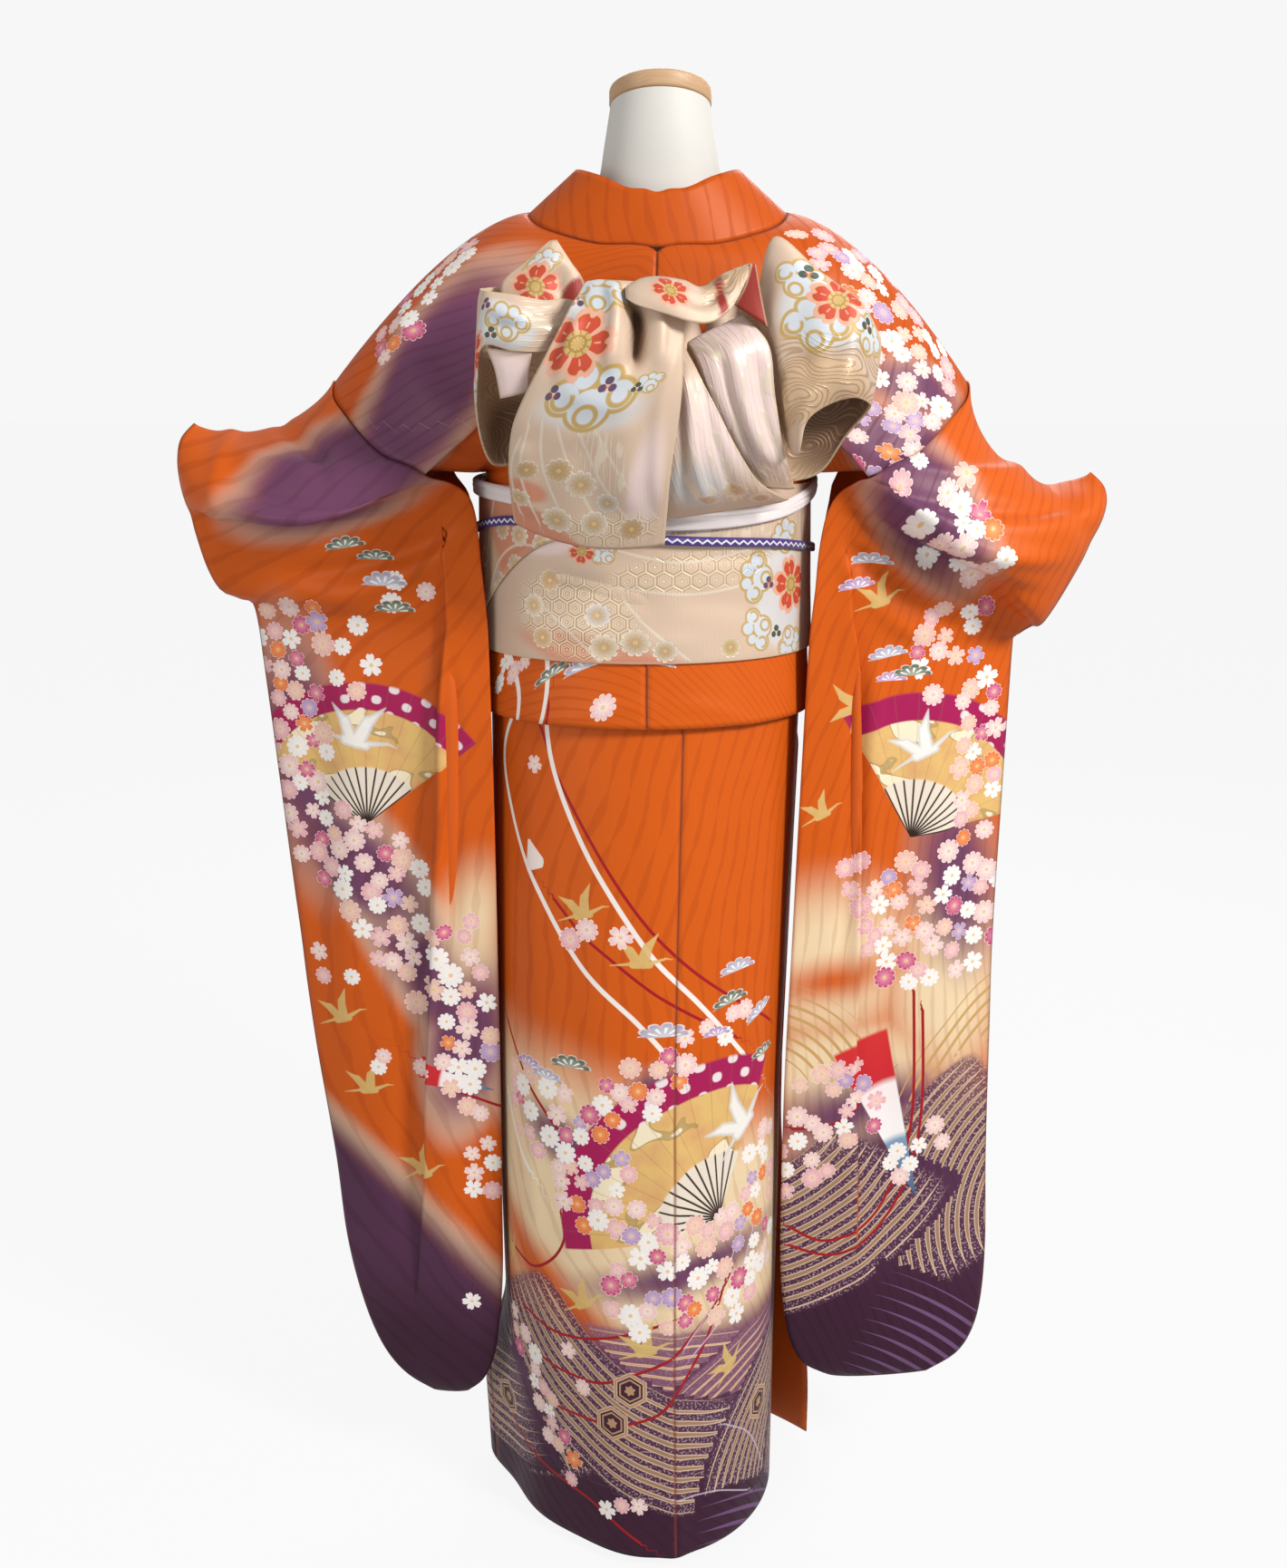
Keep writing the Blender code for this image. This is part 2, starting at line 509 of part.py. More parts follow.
def sleeve_layer(side, table, pleats, rows, steps, front):
    # One layer of a sleeve: rows from the top fold to the bottom seam, steps from the inner edge out.
    row = rows[:, None]
    step = steps[None, :]
    share = sleeve_share(pleats, row, step)
    sign = 1 if front else -1
    fullness = FRONT_FULLNESS if front else 1
    table = np.array(table)
    inner = table[:, (0 if front else 1, 2, 3)]
    inner[:, 2] += sign * table[:, 4] * fullness
    inner[: ARMHOLE_ROWS + 1] = armhole_edge(side, sign, np.arange(ARMHOLE_ROWS + 1.0))
    inner = along(inner, rows)
    sewn = rows <= ARMHOLE_ROWS
    inner[sewn] = armhole_edge(side, sign, rows[sewn])
    x_in, z_in, y_in = (inner[:, None, k] for k in range(3))
    x_out, z_out, y_out, half_out, sag, puff = (along(table[:, 5:], rows)[:, None, k] for k in range(6))
    hump = (4 * share * (1 - share)) ** 0.85
    skewed = share ** SAG_SKEW[side]
    x = x_in + (x_out - x_in) * share
    z = z_in + (z_out - z_in) * share - sag * (4 * skewed * (1 - skewed)) ** 0.85
    y = y_in + (y_out + sign * half_out - y_in) * share + sign * puff * fullness * hump
    if not front:
        overlap = pleat_at(pleats, row)[1]
        back_turn = (np.clip((step - 0.97) / 0.06, 0, 1) - 0.5) * np.exp(-(((step - 1) / 0.35) ** 2))
        x = x - side * overlap * back_turn
        y = y + PLEAT_DEPTH * 2 * back_turn * np.clip(overlap / 0.012, 0, 1)
    return np.stack(np.broadcast_arrays(x, y, z), axis=-1)


def build_sleeve(name, side, table, pleats):
    rows = np.array(SLEEVE_STEPS, float)
    steps = np.array(SLEEVE_COLUMNS)
    back = sleeve_layer(side, table, pleats, rows, steps, front=False)
    front = sleeve_layer(side, table, pleats, rows, steps, front=True)
    shape = (len(rows), len(steps))
    index = np.arange(len(rows) * len(steps)).reshape(shape)
    other = index + index.size
    other[0], other[-1] = index[0], index[-1]
    other[rows >= CUFF_END_ROW, -1] = index[rows >= CUFF_END_ROW, -1]
    points = np.concatenate([back.reshape(-1, 3), front.reshape(-1, 3)])
    shared = np.flatnonzero(other.reshape(-1) < index.size)
    points[shared] = (points[shared] + points[shared + index.size]) / 2
    renumber = np.concatenate([index.reshape(-1), other.reshape(-1)])
    faces = grid_faces(*shape, 0, flip=side < 0) + grid_faces(*shape, index.size, flip=side > 0)
    faces = [[renumber[c] for c in face] for face in faces]
    used, compact = np.unique(renumber, return_inverse=True)
    place = dict(zip(renumber, compact))
    faces = [[int(place[c]) for c in face] for face in faces]
    points = points[used]
    normals = vertex_normals(points, faces)
    body_rows = list(BODY_STEPS)
    seam = body_grid(side)[1][:, -1]
    for k, row in enumerate(rows[rows <= ARMHOLE_ROWS]):
        normals[place[index[k, 0]]] = seam[body_rows.index(RIDGE - row)]
        normals[place[other[k, 0]]] = seam[body_rows.index(RIDGE + row)]
    thicken(name, points, normals, faces, mats["silk"])


# Sash, its band and its cord: rings round the body

RING_SIDES = 48


def build_ring(name, middle_z, height, face, thick, material, rows=2):
    # A closed band round the body; the middle height and the inner face are given every 45 degrees.
    turns = np.linspace(0, 360, RING_SIDES, endpoint=False)
    share = np.linspace(0.5, -0.5, rows)[:, None]
    z = around(middle_z, turns)[None, :] + share * height
    points = round_point(turns[None, :], z, around(face, turns)[None, :] + thick)
    wall(name, points, material, thick, closed=True, flip=True)


def around(values, turns):
    # Values given every 45 degrees from +X, joined smoothly round the body.
    closed = np.array([values[-1], *values, values[0], values[1]], float)[:, None]
    return along(closed, np.asarray(turns) / 45.0 + 1)[..., 0]


SASH_THICKNESS = 0.003
SASH_FACE = (SASH_OUT - SASH_THICKNESS,) * 8
SASH_Z = ((SASH_BOTTOM_Z + SASH_TOP_Z) / 2,) * 8
CORD_Z = (1.065, 1.068, 1.072, 1.076, 1.084, 1.100, 1.087, 1.079)
CORD_LIFT = (0.0004, 0.0004, 0.0004, 0.0031, 0.0031, 0.0031, 0.0031, 0.0010)
CORD_HEIGHT = 0.009
CORD_THICKNESS = 0.004
BAND_Z = (1.130, 1.130, 1.130, 1.130, 1.128, 1.122, 1.103, 1.108)
BAND_LIFT = (0.0010, 0.0014, 0.0014, 0.0031, 0.0031, 0.0031, 0.0031, 0.0014)
BAND_HEIGHT = 0.016
BAND_THICKNESS = 0.005
KNOT_TURN = 90.0


def build_sash():
    build_ring("obi_wrap", SASH_Z, SASH_TOP_Z - SASH_BOTTOM_Z, SASH_FACE, SASH_THICKNESS, mats["sash"], 4)
    build_ring("obijime", CORD_Z, CORD_HEIGHT, [SASH_OUT + f for f in CORD_LIFT], CORD_THICKNESS, mats["cord"])
    build_ring("obiage", BAND_Z, BAND_HEIGHT, [SASH_OUT + f for f in BAND_LIFT], BAND_THICKNESS, mats["white"])
    side_step = 360 / RING_SIDES
    turns = np.arange(-207.5 // side_step, -112.5 // side_step + 1)[None, :] * side_step
    rise = np.linspace(0, 1, 5)[:, None]
    low = 0.984 + 0.100 * smooth_step((turns + 182) / 66) + 0.03 * smooth_step((-178 - turns) / 25)
    z = SASH_TOP_Z - 0.002 + (low - SASH_TOP_Z + 0.002) * rise
    points = round_point(turns, z, SASH_OUT + 0.0004 + SASH_CLOTH)
    wall("obi_fold", points, mats["sash"], SASH_CLOTH, flip=True)
    build_cord_knot()


def build_cord_knot():
    # The cord's knot in front, a flat rounded lump on the cord.
    face = SASH_OUT + CORD_LIFT[2] + CORD_THICKNESS + 0.0006
    middle = round_point(np.array(KNOT_TURN), np.array(CORD_Z[2]), face)
    angle = np.linspace(0, 2 * math.pi, 16, endpoint=False)
    rings = []
    for depth, size in ((0.0, 0.6), (0.002, 0.95), (0.006, 1.0), (0.009, 0.6)):
        x = middle[0] + 0.013 * size * np.cos(angle)
        z = middle[2] - 0.008 * size * np.sin(angle)
        rings.append(np.stack([x, np.full(16, middle[1] + depth), z], axis=-1))
    stack("obijime_knot", np.array(rings), mats["cord"])


# Bow: stretches of the sash, each between two edges that run through a short table

Fold = namedtuple("Fold", "x0 y0 z0 x1 y1 z1 belly")
BOW = {
    "bow_loop_right": (
        Fold(0.122, -0.172, 1.172, 0.090, -0.178, 1.290, 0.004),
        Fold(0.129, -0.190, 1.168, 0.104, -0.182, 1.352, 0.012),
        Fold(0.138, -0.200, 1.199, 0.143, -0.188, 1.326, 0.014),
        Fold(0.171, -0.195, 1.216, 0.183, -0.186, 1.296, 0.010),
        Fold(0.194, -0.178, 1.211, 0.202, -0.176, 1.268, 0.003),
        Fold(0.194, -0.160, 1.202, 0.198, -0.160, 1.276, -0.001),
        Fold(0.177, -0.146, 1.180, 0.178, -0.150, 1.301, -0.001),
        Fold(0.155, -0.138, 1.148, 0.146, -0.146, 1.310, 0.000),
        Fold(0.119, -0.142, 1.140, 0.112, -0.148, 1.316, 0.000),
        Fold(0.080, -0.158, 1.148, 0.076, -0.158, 1.311, 0.000),
        Fold(0.0476, -0.169, 1.165, 0.0476, -0.169, 1.296, 0.000),
    ),
    "bow_loop_left": (
        Fold(-0.0457, -0.169, 1.165, -0.0457, -0.169, 1.250, 0.000),
        Fold(-0.072, -0.156, 1.160, -0.072, -0.158, 1.280, 0.000),
        Fold(-0.108, -0.143, 1.158, -0.105, -0.149, 1.301, 0.000),
        Fold(-0.140, -0.142, 1.154, -0.132, -0.150, 1.311, 0.000),
        Fold(-0.151, -0.155, 1.162, -0.150, -0.166, 1.310, 0.002),
        Fold(-0.157, -0.178, 1.192, -0.151, -0.186, 1.309, 0.004),
        Fold(-0.156, -0.196, 1.227, -0.148, -0.206, 1.307, 0.004),
        Fold(-0.147, -0.214, 1.260, -0.141, -0.218, 1.306, 0.004),
        Fold(-0.119, -0.225, 1.256, -0.117, -0.222, 1.303, 0.004),
        Fold(-0.091, -0.222, 1.256, -0.093, -0.214, 1.299, 0.004),
        Fold(-0.069, -0.208, 1.262, -0.072, -0.200, 1.300, 0.002),
        Fold(-0.0445, -0.1926, 1.266, -0.048, -0.190, 1.290, 0.000),
    ),
    "bow_fold_left": (
        Fold(-0.144, -0.2128, 1.2588, -0.104, -0.2235, 1.2552, 0.000),
        Fold(-0.137, -0.2125, 1.240, -0.106, -0.2190, 1.240, 0.002),
        Fold(-0.133, -0.2100, 1.216, -0.107, -0.2135, 1.222, 0.002),
    ),
    "bow_corner_left": (
        Fold(-0.110, -0.184, 1.262, -0.042, -0.1921, 1.262, 0.002),
        Fold(-0.128, -0.176, 1.285, -0.056, -0.178, 1.290, 0.003),
        Fold(-0.133, -0.168, 1.314, -0.060, -0.172, 1.315, 0.003),
        Fold(-0.110, -0.166, 1.334, -0.072, -0.169, 1.333, 0.002),
        Fold(-0.091, -0.165, 1.350, -0.084, -0.165, 1.351, 0.000),
    ),
    "bow_roll": (
        Fold(-0.0230, -0.2242, 1.3098, -0.0230, -0.2382, 1.2998, 0.002),
        Fold(-0.0110, -0.2202, 1.3168, -0.0130, -0.2452, 1.2938, 0.005),
        Fold(0.0050, -0.2162, 1.3188, 0.0130, -0.2492, 1.2858, 0.008),
        Fold(0.0270, -0.2102, 1.3158, 0.0360, -0.2462, 1.2798, 0.008),
        Fold(0.0420, -0.2062, 1.3108, 0.0530, -0.2382, 1.2818, 0.006),
        Fold(0.0610, -0.2042, 1.3218, 0.0690, -0.2282, 1.2948, 0.003),
        Fold(0.0830, -0.2022, 1.3298, 0.0810, -0.2122, 1.3198, 0.000),
    ),
    "bow_peak": (
        Fold(0.0845, -0.2072, 1.3288, 0.0890, -0.2022, 1.3288, 0.000),
        Fold(0.0790, -0.2072, 1.3108, 0.0940, -0.1982, 1.3048, 0.000),
        Fold(0.0700, -0.2062, 1.2948, 0.1000, -0.1982, 1.2768, 0.000),
    ),
    "bow_flap": (
        Fold(-0.022, -0.172, 1.2936, 0.024, -0.172, 1.2936, 0.000),
        Fold(-0.044, -0.192, 1.303, 0.006, -0.196, 1.303, 0.000),
        Fold(-0.056, -0.214, 1.315, 0.000, -0.214, 1.312, 0.003),
        Fold(-0.071, -0.232, 1.291, 0.024, -0.230, 1.290, 0.004),
        Fold(-0.092, -0.236, 1.253, 0.026, -0.236, 1.254, 0.010),
        Fold(-0.120, -0.222, 1.199, 0.024, -0.236, 1.212, 0.010),
        Fold(-0.127, -0.202, 1.160, 0.016, -0.222, 1.155, 0.008),
        Fold(-0.127, -0.182, 1.128, 0.013, -0.200, 1.117, 0.006),
        Fold(-0.126, -0.170, 1.110, 0.011, -0.182, 1.085, 0.004),
    ),
    "bow_pleat_inner": (
        Fold(0.030, -0.1899, 1.264, 0.078, -0.190, 1.287, 0.000),
        Fold(0.039, -0.203, 1.247, 0.101, -0.200, 1.262, 0.004),
        Fold(0.052, -0.200, 1.212, 0.108, -0.196, 1.218, 0.004),
        Fold(0.075, -0.184, 1.168, 0.1175, -0.182, 1.172, 0.003),
        Fold(0.101, -0.156, 1.136, 0.133, -0.132, 1.132, 0.000),
    ),
    "bow_pleat_outer": (
        Fold(0.018, -0.1949, 1.262, 0.027, -0.1938, 1.262, 0.000),
        Fold(0.020, -0.215, 1.228, 0.047, -0.212, 1.226, 0.001),
        Fold(0.016, -0.210, 1.170, 0.073, -0.204, 1.176, 0.003),
        Fold(0.013, -0.188, 1.133, 0.098, -0.176, 1.140, 0.003),
        Fold(0.012, -0.157, 1.107, 0.127, -0.134, 1.122, 0.002),
    ),
}
KNOT = (
    Section(1.1121, 0.004, -0.1405, 0.018, 0.005),
    Section(1.122, 0.004, -0.1480, 0.030, 0.012),
    Section(1.150, 0.002, -0.1620, 0.042, 0.024),
    Section(1.200, 0.001, -0.169, 0.046, 0.028),
    Section(1.250, 0.001, -0.170, 0.046, 0.028),
    Section(1.280, 0.001, -0.170, 0.040, 0.022),
    Section(1.292, 0.001, -0.170, 0.026, 0.012),
)


def ribbon(name, folds, across=5, finer=2):
    # A strip between two edges, swelling towards the back of the bow in its middle.
    rows = along(folds, np.linspace(0, len(folds) - 1, (len(folds) - 1) * finer + 1))
    share = np.linspace(0, 1, across)[None, :, None]
    points = rows[:, None, 0:3] + (rows[:, None, 3:6] - rows[:, None, 0:3]) * share
    points[:, :, 1] -= rows[:, 6:7] * (4 * share * (1 - share))[:, :, 0]
    wall(name, points, mats["sash"], SASH_CLOTH / 2, SASH_CLOTH / 2)


def build_bow():
    for name, folds in BOW.items():
        ribbon(name, folds)
    stack("bow_knot", np.array([ring_of(s) for s in KNOT]), mats["sash"])


for old in list(bpy.data.objects):
    bpy.data.objects.remove(old)
garment = bpy.data.collections.new("furisode_kimono")
bpy.context.scene.collection.children.link(garment)
mats = {
    "silk": make_material("orange_silk", (0.64, 0.10, 0.017), 0.42),
    "sash": make_material("gold_brocade", (0.60, 0.46, 0.30), 0.45),
    "cord": make_material("purple_braid", (0.07, 0.03, 0.22), 0.6),
    "white": make_material("white_band", (0.80, 0.74, 0.72), 0.6),
    "form": make_material("form_cloth", (0.80, 0.78, 0.72), 0.8),
    "wood": make_material("pale_wood", (0.55, 0.36, 0.20), 0.5),
    "metal": make_material("dark_metal", (0.05, 0.05, 0.05), 0.4, 0.8),
}
build_form()
build_skirt()
build_body()
build_collar()
build_sleeve("sleeve_left", -1, SLEEVE_LEFT, PLEAT_LEFT)
build_sleeve("sleeve_right", 1, SLEEVE_RIGHT, PLEAT_RIGHT)
build_sash()
build_bow()
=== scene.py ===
# A furisode kimono with its tied sash on a dress form, seen from the back.
import json
import math

import bpy
import numpy as np
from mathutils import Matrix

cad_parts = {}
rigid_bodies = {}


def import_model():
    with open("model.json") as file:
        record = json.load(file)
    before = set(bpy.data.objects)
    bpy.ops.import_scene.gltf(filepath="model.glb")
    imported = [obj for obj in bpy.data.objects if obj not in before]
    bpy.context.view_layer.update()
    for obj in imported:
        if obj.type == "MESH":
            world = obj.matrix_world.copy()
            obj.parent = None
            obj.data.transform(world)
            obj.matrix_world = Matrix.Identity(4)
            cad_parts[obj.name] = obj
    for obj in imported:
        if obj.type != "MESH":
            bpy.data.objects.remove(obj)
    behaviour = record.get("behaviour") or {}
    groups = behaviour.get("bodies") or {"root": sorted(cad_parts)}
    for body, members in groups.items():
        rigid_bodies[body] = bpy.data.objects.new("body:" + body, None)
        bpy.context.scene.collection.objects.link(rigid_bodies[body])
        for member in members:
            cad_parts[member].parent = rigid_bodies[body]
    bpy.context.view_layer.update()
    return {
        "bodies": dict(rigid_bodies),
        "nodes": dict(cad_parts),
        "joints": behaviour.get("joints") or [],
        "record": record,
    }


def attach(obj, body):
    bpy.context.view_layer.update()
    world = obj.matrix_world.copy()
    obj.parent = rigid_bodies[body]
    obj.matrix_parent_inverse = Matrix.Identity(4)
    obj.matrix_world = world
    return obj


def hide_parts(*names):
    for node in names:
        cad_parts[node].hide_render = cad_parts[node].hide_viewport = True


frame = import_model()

print("frame loaded:", len(frame["nodes"]), "solids")

# Camera and studio

studio = {
    "cameraPlace": (-0.008, -1.70, 1.255),
    "cameraTilt": 75.5,  # degrees from straight down
    "lens": 38.29,
    "sensor": 36,
    "backdrop": (0.93, 0.93, 0.93),
    "roomLight": 0.50,
    "lampAim": (0, 0, 0.95),
    "floorSize": 60.0,
    "floorDye": (0.06, 0.06, 0.06, 1),
    "floorGlow": (0.895, 0.895, 0.895, 1),
}
lamps = (  # name, place, size, watts
    ("keyLight", (2.0, -1.9, 2.6), 0.8, 97),
    ("fillLight", (-2.2, -2.2, 1.3), 1.8, 20),
    ("rimLight", (0.5, 2.4, 2.6), 2.0, 30),
)


def addObject(name, data, spot=(0, 0, 0), turn=(0, 0, 0)):
    item = bpy.data.objects.new(name, data)
    item.location = spot
    item.rotation_euler = turn
    bpy.context.scene.collection.objects.link(item)
    return item


def makeStudio():
    cameraData = bpy.data.cameras.new("camera")
    cameraData.lens = studio["lens"]
    cameraData.sensor_width = studio["sensor"]
    tilt = math.radians(studio["cameraTilt"])
    bpy.context.scene.camera = addObject("camera", cameraData, studio["cameraPlace"], (tilt, 0, 0))
    bpy.context.scene.view_settings.view_transform = "Standard"
    for name, spot, size, watts in lamps:
        lamp = bpy.data.lights.new(name, "AREA")
        lamp.shape = "DISK"
        lamp.size = size
        lamp.energy = watts
        x, y, z = np.subtract(studio["lampAim"], spot)
        turn = (math.atan2(math.hypot(x, y), -z), 0, math.atan2(y, x) - math.pi / 2)
        addObject(name, lamp, spot, turn)
    world = bpy.data.worlds.new("room")
    bpy.context.scene.world = world
    world.use_nodes = True
    tree = world.node_tree
    background = tree.nodes["Background"]
    background.inputs["Color"].default_value = (*studio["backdrop"], 1)
    rays = tree.nodes.new("ShaderNodeLightPath")
    level = tree.nodes.new("ShaderNodeMapRange")
    level.inputs["To Min"].default_value = studio["roomLight"]
    level.inputs["To Max"].default_value = 1.0
    tree.links.new(rays.outputs["Is Camera Ray"], level.inputs["Value"])
    tree.links.new(level.outputs["Result"], background.inputs["Strength"])
    half = studio["floorSize"] / 2
    floorMesh = bpy.data.meshes.new("floor")
    corners = [(-half, -half, 0), (half, -half, 0), (half, half, 0), (-half, half, 0)]
    floorMesh.from_pydata(corners, [], [(0, 1, 2, 3)])
    paper = Finish("paper_floor", {
        "Base Color": studio["floorDye"], "Roughness": 1.0, "Specular IOR Level": 0.0,
        "Emission Color": studio["floorGlow"], "Emission Strength": 1.0,
    })
    floorMesh.materials.append(paper.material)
    floor = addObject("floor", floorMesh)
    floor.visible_diffuse = False
    floor.visible_glossy = False


# Materials: sums of wires


class Wire:
    # A number that varies over the surface; sums and products of wires add their own nodes.
    def __init__(self, finish, socket):
        self.finish = finish
        self.socket = socket

    def sum(self, operation, *values, clamp=False):
        settings = {"operation": operation, "use_clamp": clamp}
        return self.finish.node("ShaderNodeMath", settings, dict(enumerate(values)))

    def __add__(self, other):
        return self.sum("ADD", self, other)

    def __radd__(self, other):
        return self.sum("ADD", other, self)

    def __sub__(self, other):
        return self.sum("SUBTRACT", self, other)

    def __rsub__(self, other):
        return self.sum("SUBTRACT", other, self)

    def __mul__(self, other):
        return self.sum("MULTIPLY", self, other)

    def __pow__(self, other):
        return self.sum("POWER", self, other)

    def __abs__(self):
        return self.sum("ABSOLUTE", self)

    def least(self, other):
        return self.sum("MINIMUM", self, other)

    def most(self, other):
        return self.sum("MAXIMUM", self, other)

    def fraction(self):
        return self.sum("FRACT", self)

    def whole(self):
        return self.sum("FLOOR", self)

    def sine(self):
        return self.sum("SINE", self)

    def unit(self):
        # Kept between 0 and 1.
        return self.sum("ADD", self, 0.0, clamp=True)

    def above(self, level, soft):
        # 0 below the level, 1 above it, over a soft edge.
        return self.sum("MULTIPLY_ADD", self, 1.0 / soft, 0.5 - level / soft, clamp=True)

    def below(self, level, soft):
        return self.sum("MULTIPLY_ADD", self, -1.0 / soft, 0.5 + level / soft, clamp=True)

    def near(self, level, reach):
        # 1 where the value is within reach of the level.
        return self.sum("COMPARE", self, level, reach)


class Finish:
    # One material: constants stand on the shader's own sockets, and what varies is linked.
    def __init__(self, name, surface):
        self.material = bpy.data.materials.new(name)
        self.material.use_nodes = True
        self.tree = self.material.node_tree
        self.shader = self.tree.nodes["Principled BSDF"]
        for socket, value in surface.items():
            self.shader.inputs[socket].default_value = value

    def node(self, kind, settings=None, sockets=None, out=0):
        made = self.tree.nodes.new(kind)
        for key, value in (settings or {}).items():
            if key == "stops":
                self.setStops(made.color_ramp, value)
            else:
                setattr(made, key, value)
        for key, value in (sockets or {}).items():
            if isinstance(value, Wire):
                self.tree.links.new(value.socket, made.inputs[key])
            else:
                made.inputs[key].default_value = value
        return Wire(self, made.outputs[out])

    def setStops(self, ramp, stops):
        while len(ramp.elements) < len(stops):
            ramp.elements.new(1.0)
        for element, (position, color) in zip(ramp.elements, stops):
            element.position = position
            element.color = (*color, 1)

    def split(self, vector):
        outs = self.node("ShaderNodeSeparateXYZ", None, {0: vector}).socket.node.outputs
        return [Wire(self, outs[k]) for k in range(3)]

    def attribute(self, name):
        return self.split(self.node("ShaderNodeAttribute", {"attribute_name": name}, out="Vector"))

    def colorOf(self, name):
        return self.node("ShaderNodeAttribute", {"attribute_name": name}, out="Color")

    def mix(self, factor, under, over, blend="MIX"):
        under, over = (c if isinstance(c, Wire) else (*c, 1) for c in (under, over))
        settings = {"data_type": "RGBA", "blend_type": blend}
        return self.node("ShaderNodeMix", settings, {0: factor, 6: under, 7: over}, 2)

    def paint(self, color, *coats):
        # Lays coats of (mask, colour) over a colour, one after another.
        for mask, coat in coats:
            color = self.mix(mask, color, coat)
        return color

    def ramp(self, value, stops, constant=False):
        made = self.node("ShaderNodeValToRGB", {"stops": stops}, {0: value})
        made.socket.node.color_ramp.interpolation = "CONSTANT" if constant else "LINEAR"
        return made

    def noise(self, vector, scale, detail=2.0):
        return self.node("ShaderNodeTexNoise", None, {"Vector": vector, "Scale": scale, "Detail": detail})

    def vector(self, x, y, z=0.0):
        return self.node("ShaderNodeCombineXYZ", None, {0: x, 1: y, 2: z})

    def objectPlace(self):
        return self.node("ShaderNodeTexCoord", out="Object")

    def turnOf(self, x, y):
        # The angle of a place round its middle.
        return self.node("ShaderNodeMath", {"operation": "ARCTAN2"}, {0: y, 1: x})

    def feed(self, socket, wire):
        self.tree.links.new(wire.socket, self.shader.inputs[socket])

    def bump(self, height, strength, distance):
        sockets = {"Height": height, "Strength": strength, "Distance": distance}
        self.feed("Normal", self.node("ShaderNodeBump", None, sockets))


makeStudio()
print("camera and lamps")

# Shared shapes: the same tables as the solids, in millimetres

perMetre = 1000


def along(table, where):
    # Values of a table at fractional row numbers, on a Catmull-Rom curve through its rows.
    rows = np.asarray(table, float)
    last = len(rows) - 1
    where = np.clip(np.asarray(where, float), 0, last)
    low = np.minimum(where.astype(int), last - 1)
    f = (where - low)[..., None]
    before, here, after, beyond = (rows[np.clip(low + k, 0, last)] for k in (-1, 0, 1, 2))
    curve = 2 * here + (after - before) * f
    curve += (2 * before - 5 * here + 4 * after - beyond) * f**2
    curve += (3 * here - before - 3 * after + beyond) * f**3
    return curve / 2


def smoothStep(value):
    value = np.clip(value, 0, 1)
    return value * value * (3 - 2 * value)


def evenRows(curve, stops, spacing):
    # Row numbers that lie evenly along a curve of points, with the stops among them.
    rows = [[stops[0]]]
    for first, last in zip(stops, stops[1:]):
        fine = np.linspace(first, last, 600)
        steps = np.linalg.norm(np.diff(curve(fine), axis=0), axis=1)
        run = np.concatenate([[0], np.cumsum(steps)])
        count = max(3, int(round(run[-1] / spacing)) + 1)
        rows.append(np.interp(np.linspace(0, run[-1], count), run, fine)[1:])
    return np.concatenate(rows)


def gridQuads(rows, columns, closed=False, flip=False):
    # The four corners of each face of a grid.
    i, j = np.meshgrid(np.arange(rows - 1), np.arange(columns if closed else columns - 1), indexing="ij")
    after = (j + 1) % columns
    here, below = i * columns, (i + 1) * columns
    quads = np.stack([here + j, here + after, below + after, below + j], -1).reshape(-1, 4)
    return quads[:, ::-1] if flip else quads


def pointNormals(points, quads):
    # Unit normals: the sum of the faces' diagonal cross products round each point.
    a, b, c, d = (points.reshape(-1, 3)[quads[:, k]] for k in range(4))
    normals = np.zeros((points.size // 3, 3))
    for k in range(4):
        np.add.at(normals, quads[:, k], np.cross(c - a, d - b))
    normals /= np.maximum(np.linalg.norm(normals, axis=1), 1e-12)[:, None]
    return normals.reshape(points.shape)


def creaseHeight(cut, creases):
    # Soft ridges and troughs: from, to, bow, width and depth of a bell that fades at its ends.
    u, v = cut[..., 0], cut[..., 1]
    height = np.zeros_like(u)
    for u0, v0, u1, v1, bow, width, depth in creases:
        run = math.hypot(u1 - u0, v1 - v0)
        du, dv = (u1 - u0) / run, (v1 - v0) / run
        t = ((u - u0) * du + (v - v0) * dv) / run
        off = (v - v0) * du - (u - u0) * dv - bow * 4 * t * (1 - t)
        fade = smoothStep(t / 0.2) * smoothStep((1 - t) / 0.25)
        height += depth * np.exp(-((off / width) ** 2)) * fade
    return height[..., None] / perMetre


def arcLengths(points):
    # Running length along the rows and across the columns of a grid.
    across = np.linalg.norm(np.diff(points, axis=1), axis=2)
    down = np.linalg.norm(np.diff(points, axis=0), axis=2)
    u = np.concatenate([np.zeros((len(points), 1)), np.cumsum(across, axis=1)], axis=1)
    v = np.concatenate([np.zeros((1, points.shape[1])), np.cumsum(down, axis=0)], axis=0)
    return u, v


def addValues(mesh, where, values):
    # Vectors on the points or face corners, which the materials read.
    for key, array in values.items():
        layer = mesh.attributes.new(key, "FLOAT_VECTOR", where)
        layer.data.foreach_set("vector", array.astype(np.float32).ravel())


def makeMesh(name, points, quads, pointValues, cornerValues=None):
    # A mesh from whole arrays; colours sit on points, motif places on face corners.
    mesh = bpy.data.meshes.new(name)
    mesh.vertices.add(points.size // 3)
    mesh.vertices.foreach_set("co", points.astype(np.float32).ravel())
    mesh.loops.add(quads.size)
    mesh.loops.foreach_set("vertex_index", quads.astype(np.int32).ravel())
    mesh.polygons.add(len(quads))
    mesh.polygons.foreach_set("loop_start", np.arange(0, quads.size, 4, dtype=np.int32))
    mesh.polygons.foreach_set("use_smooth", np.ones(len(quads), bool))
    addValues(mesh, "POINT", pointValues)
    addValues(mesh, "CORNER", cornerValues or {})
    mesh.update(calc_edges=True)
    mesh.validate()
    return mesh


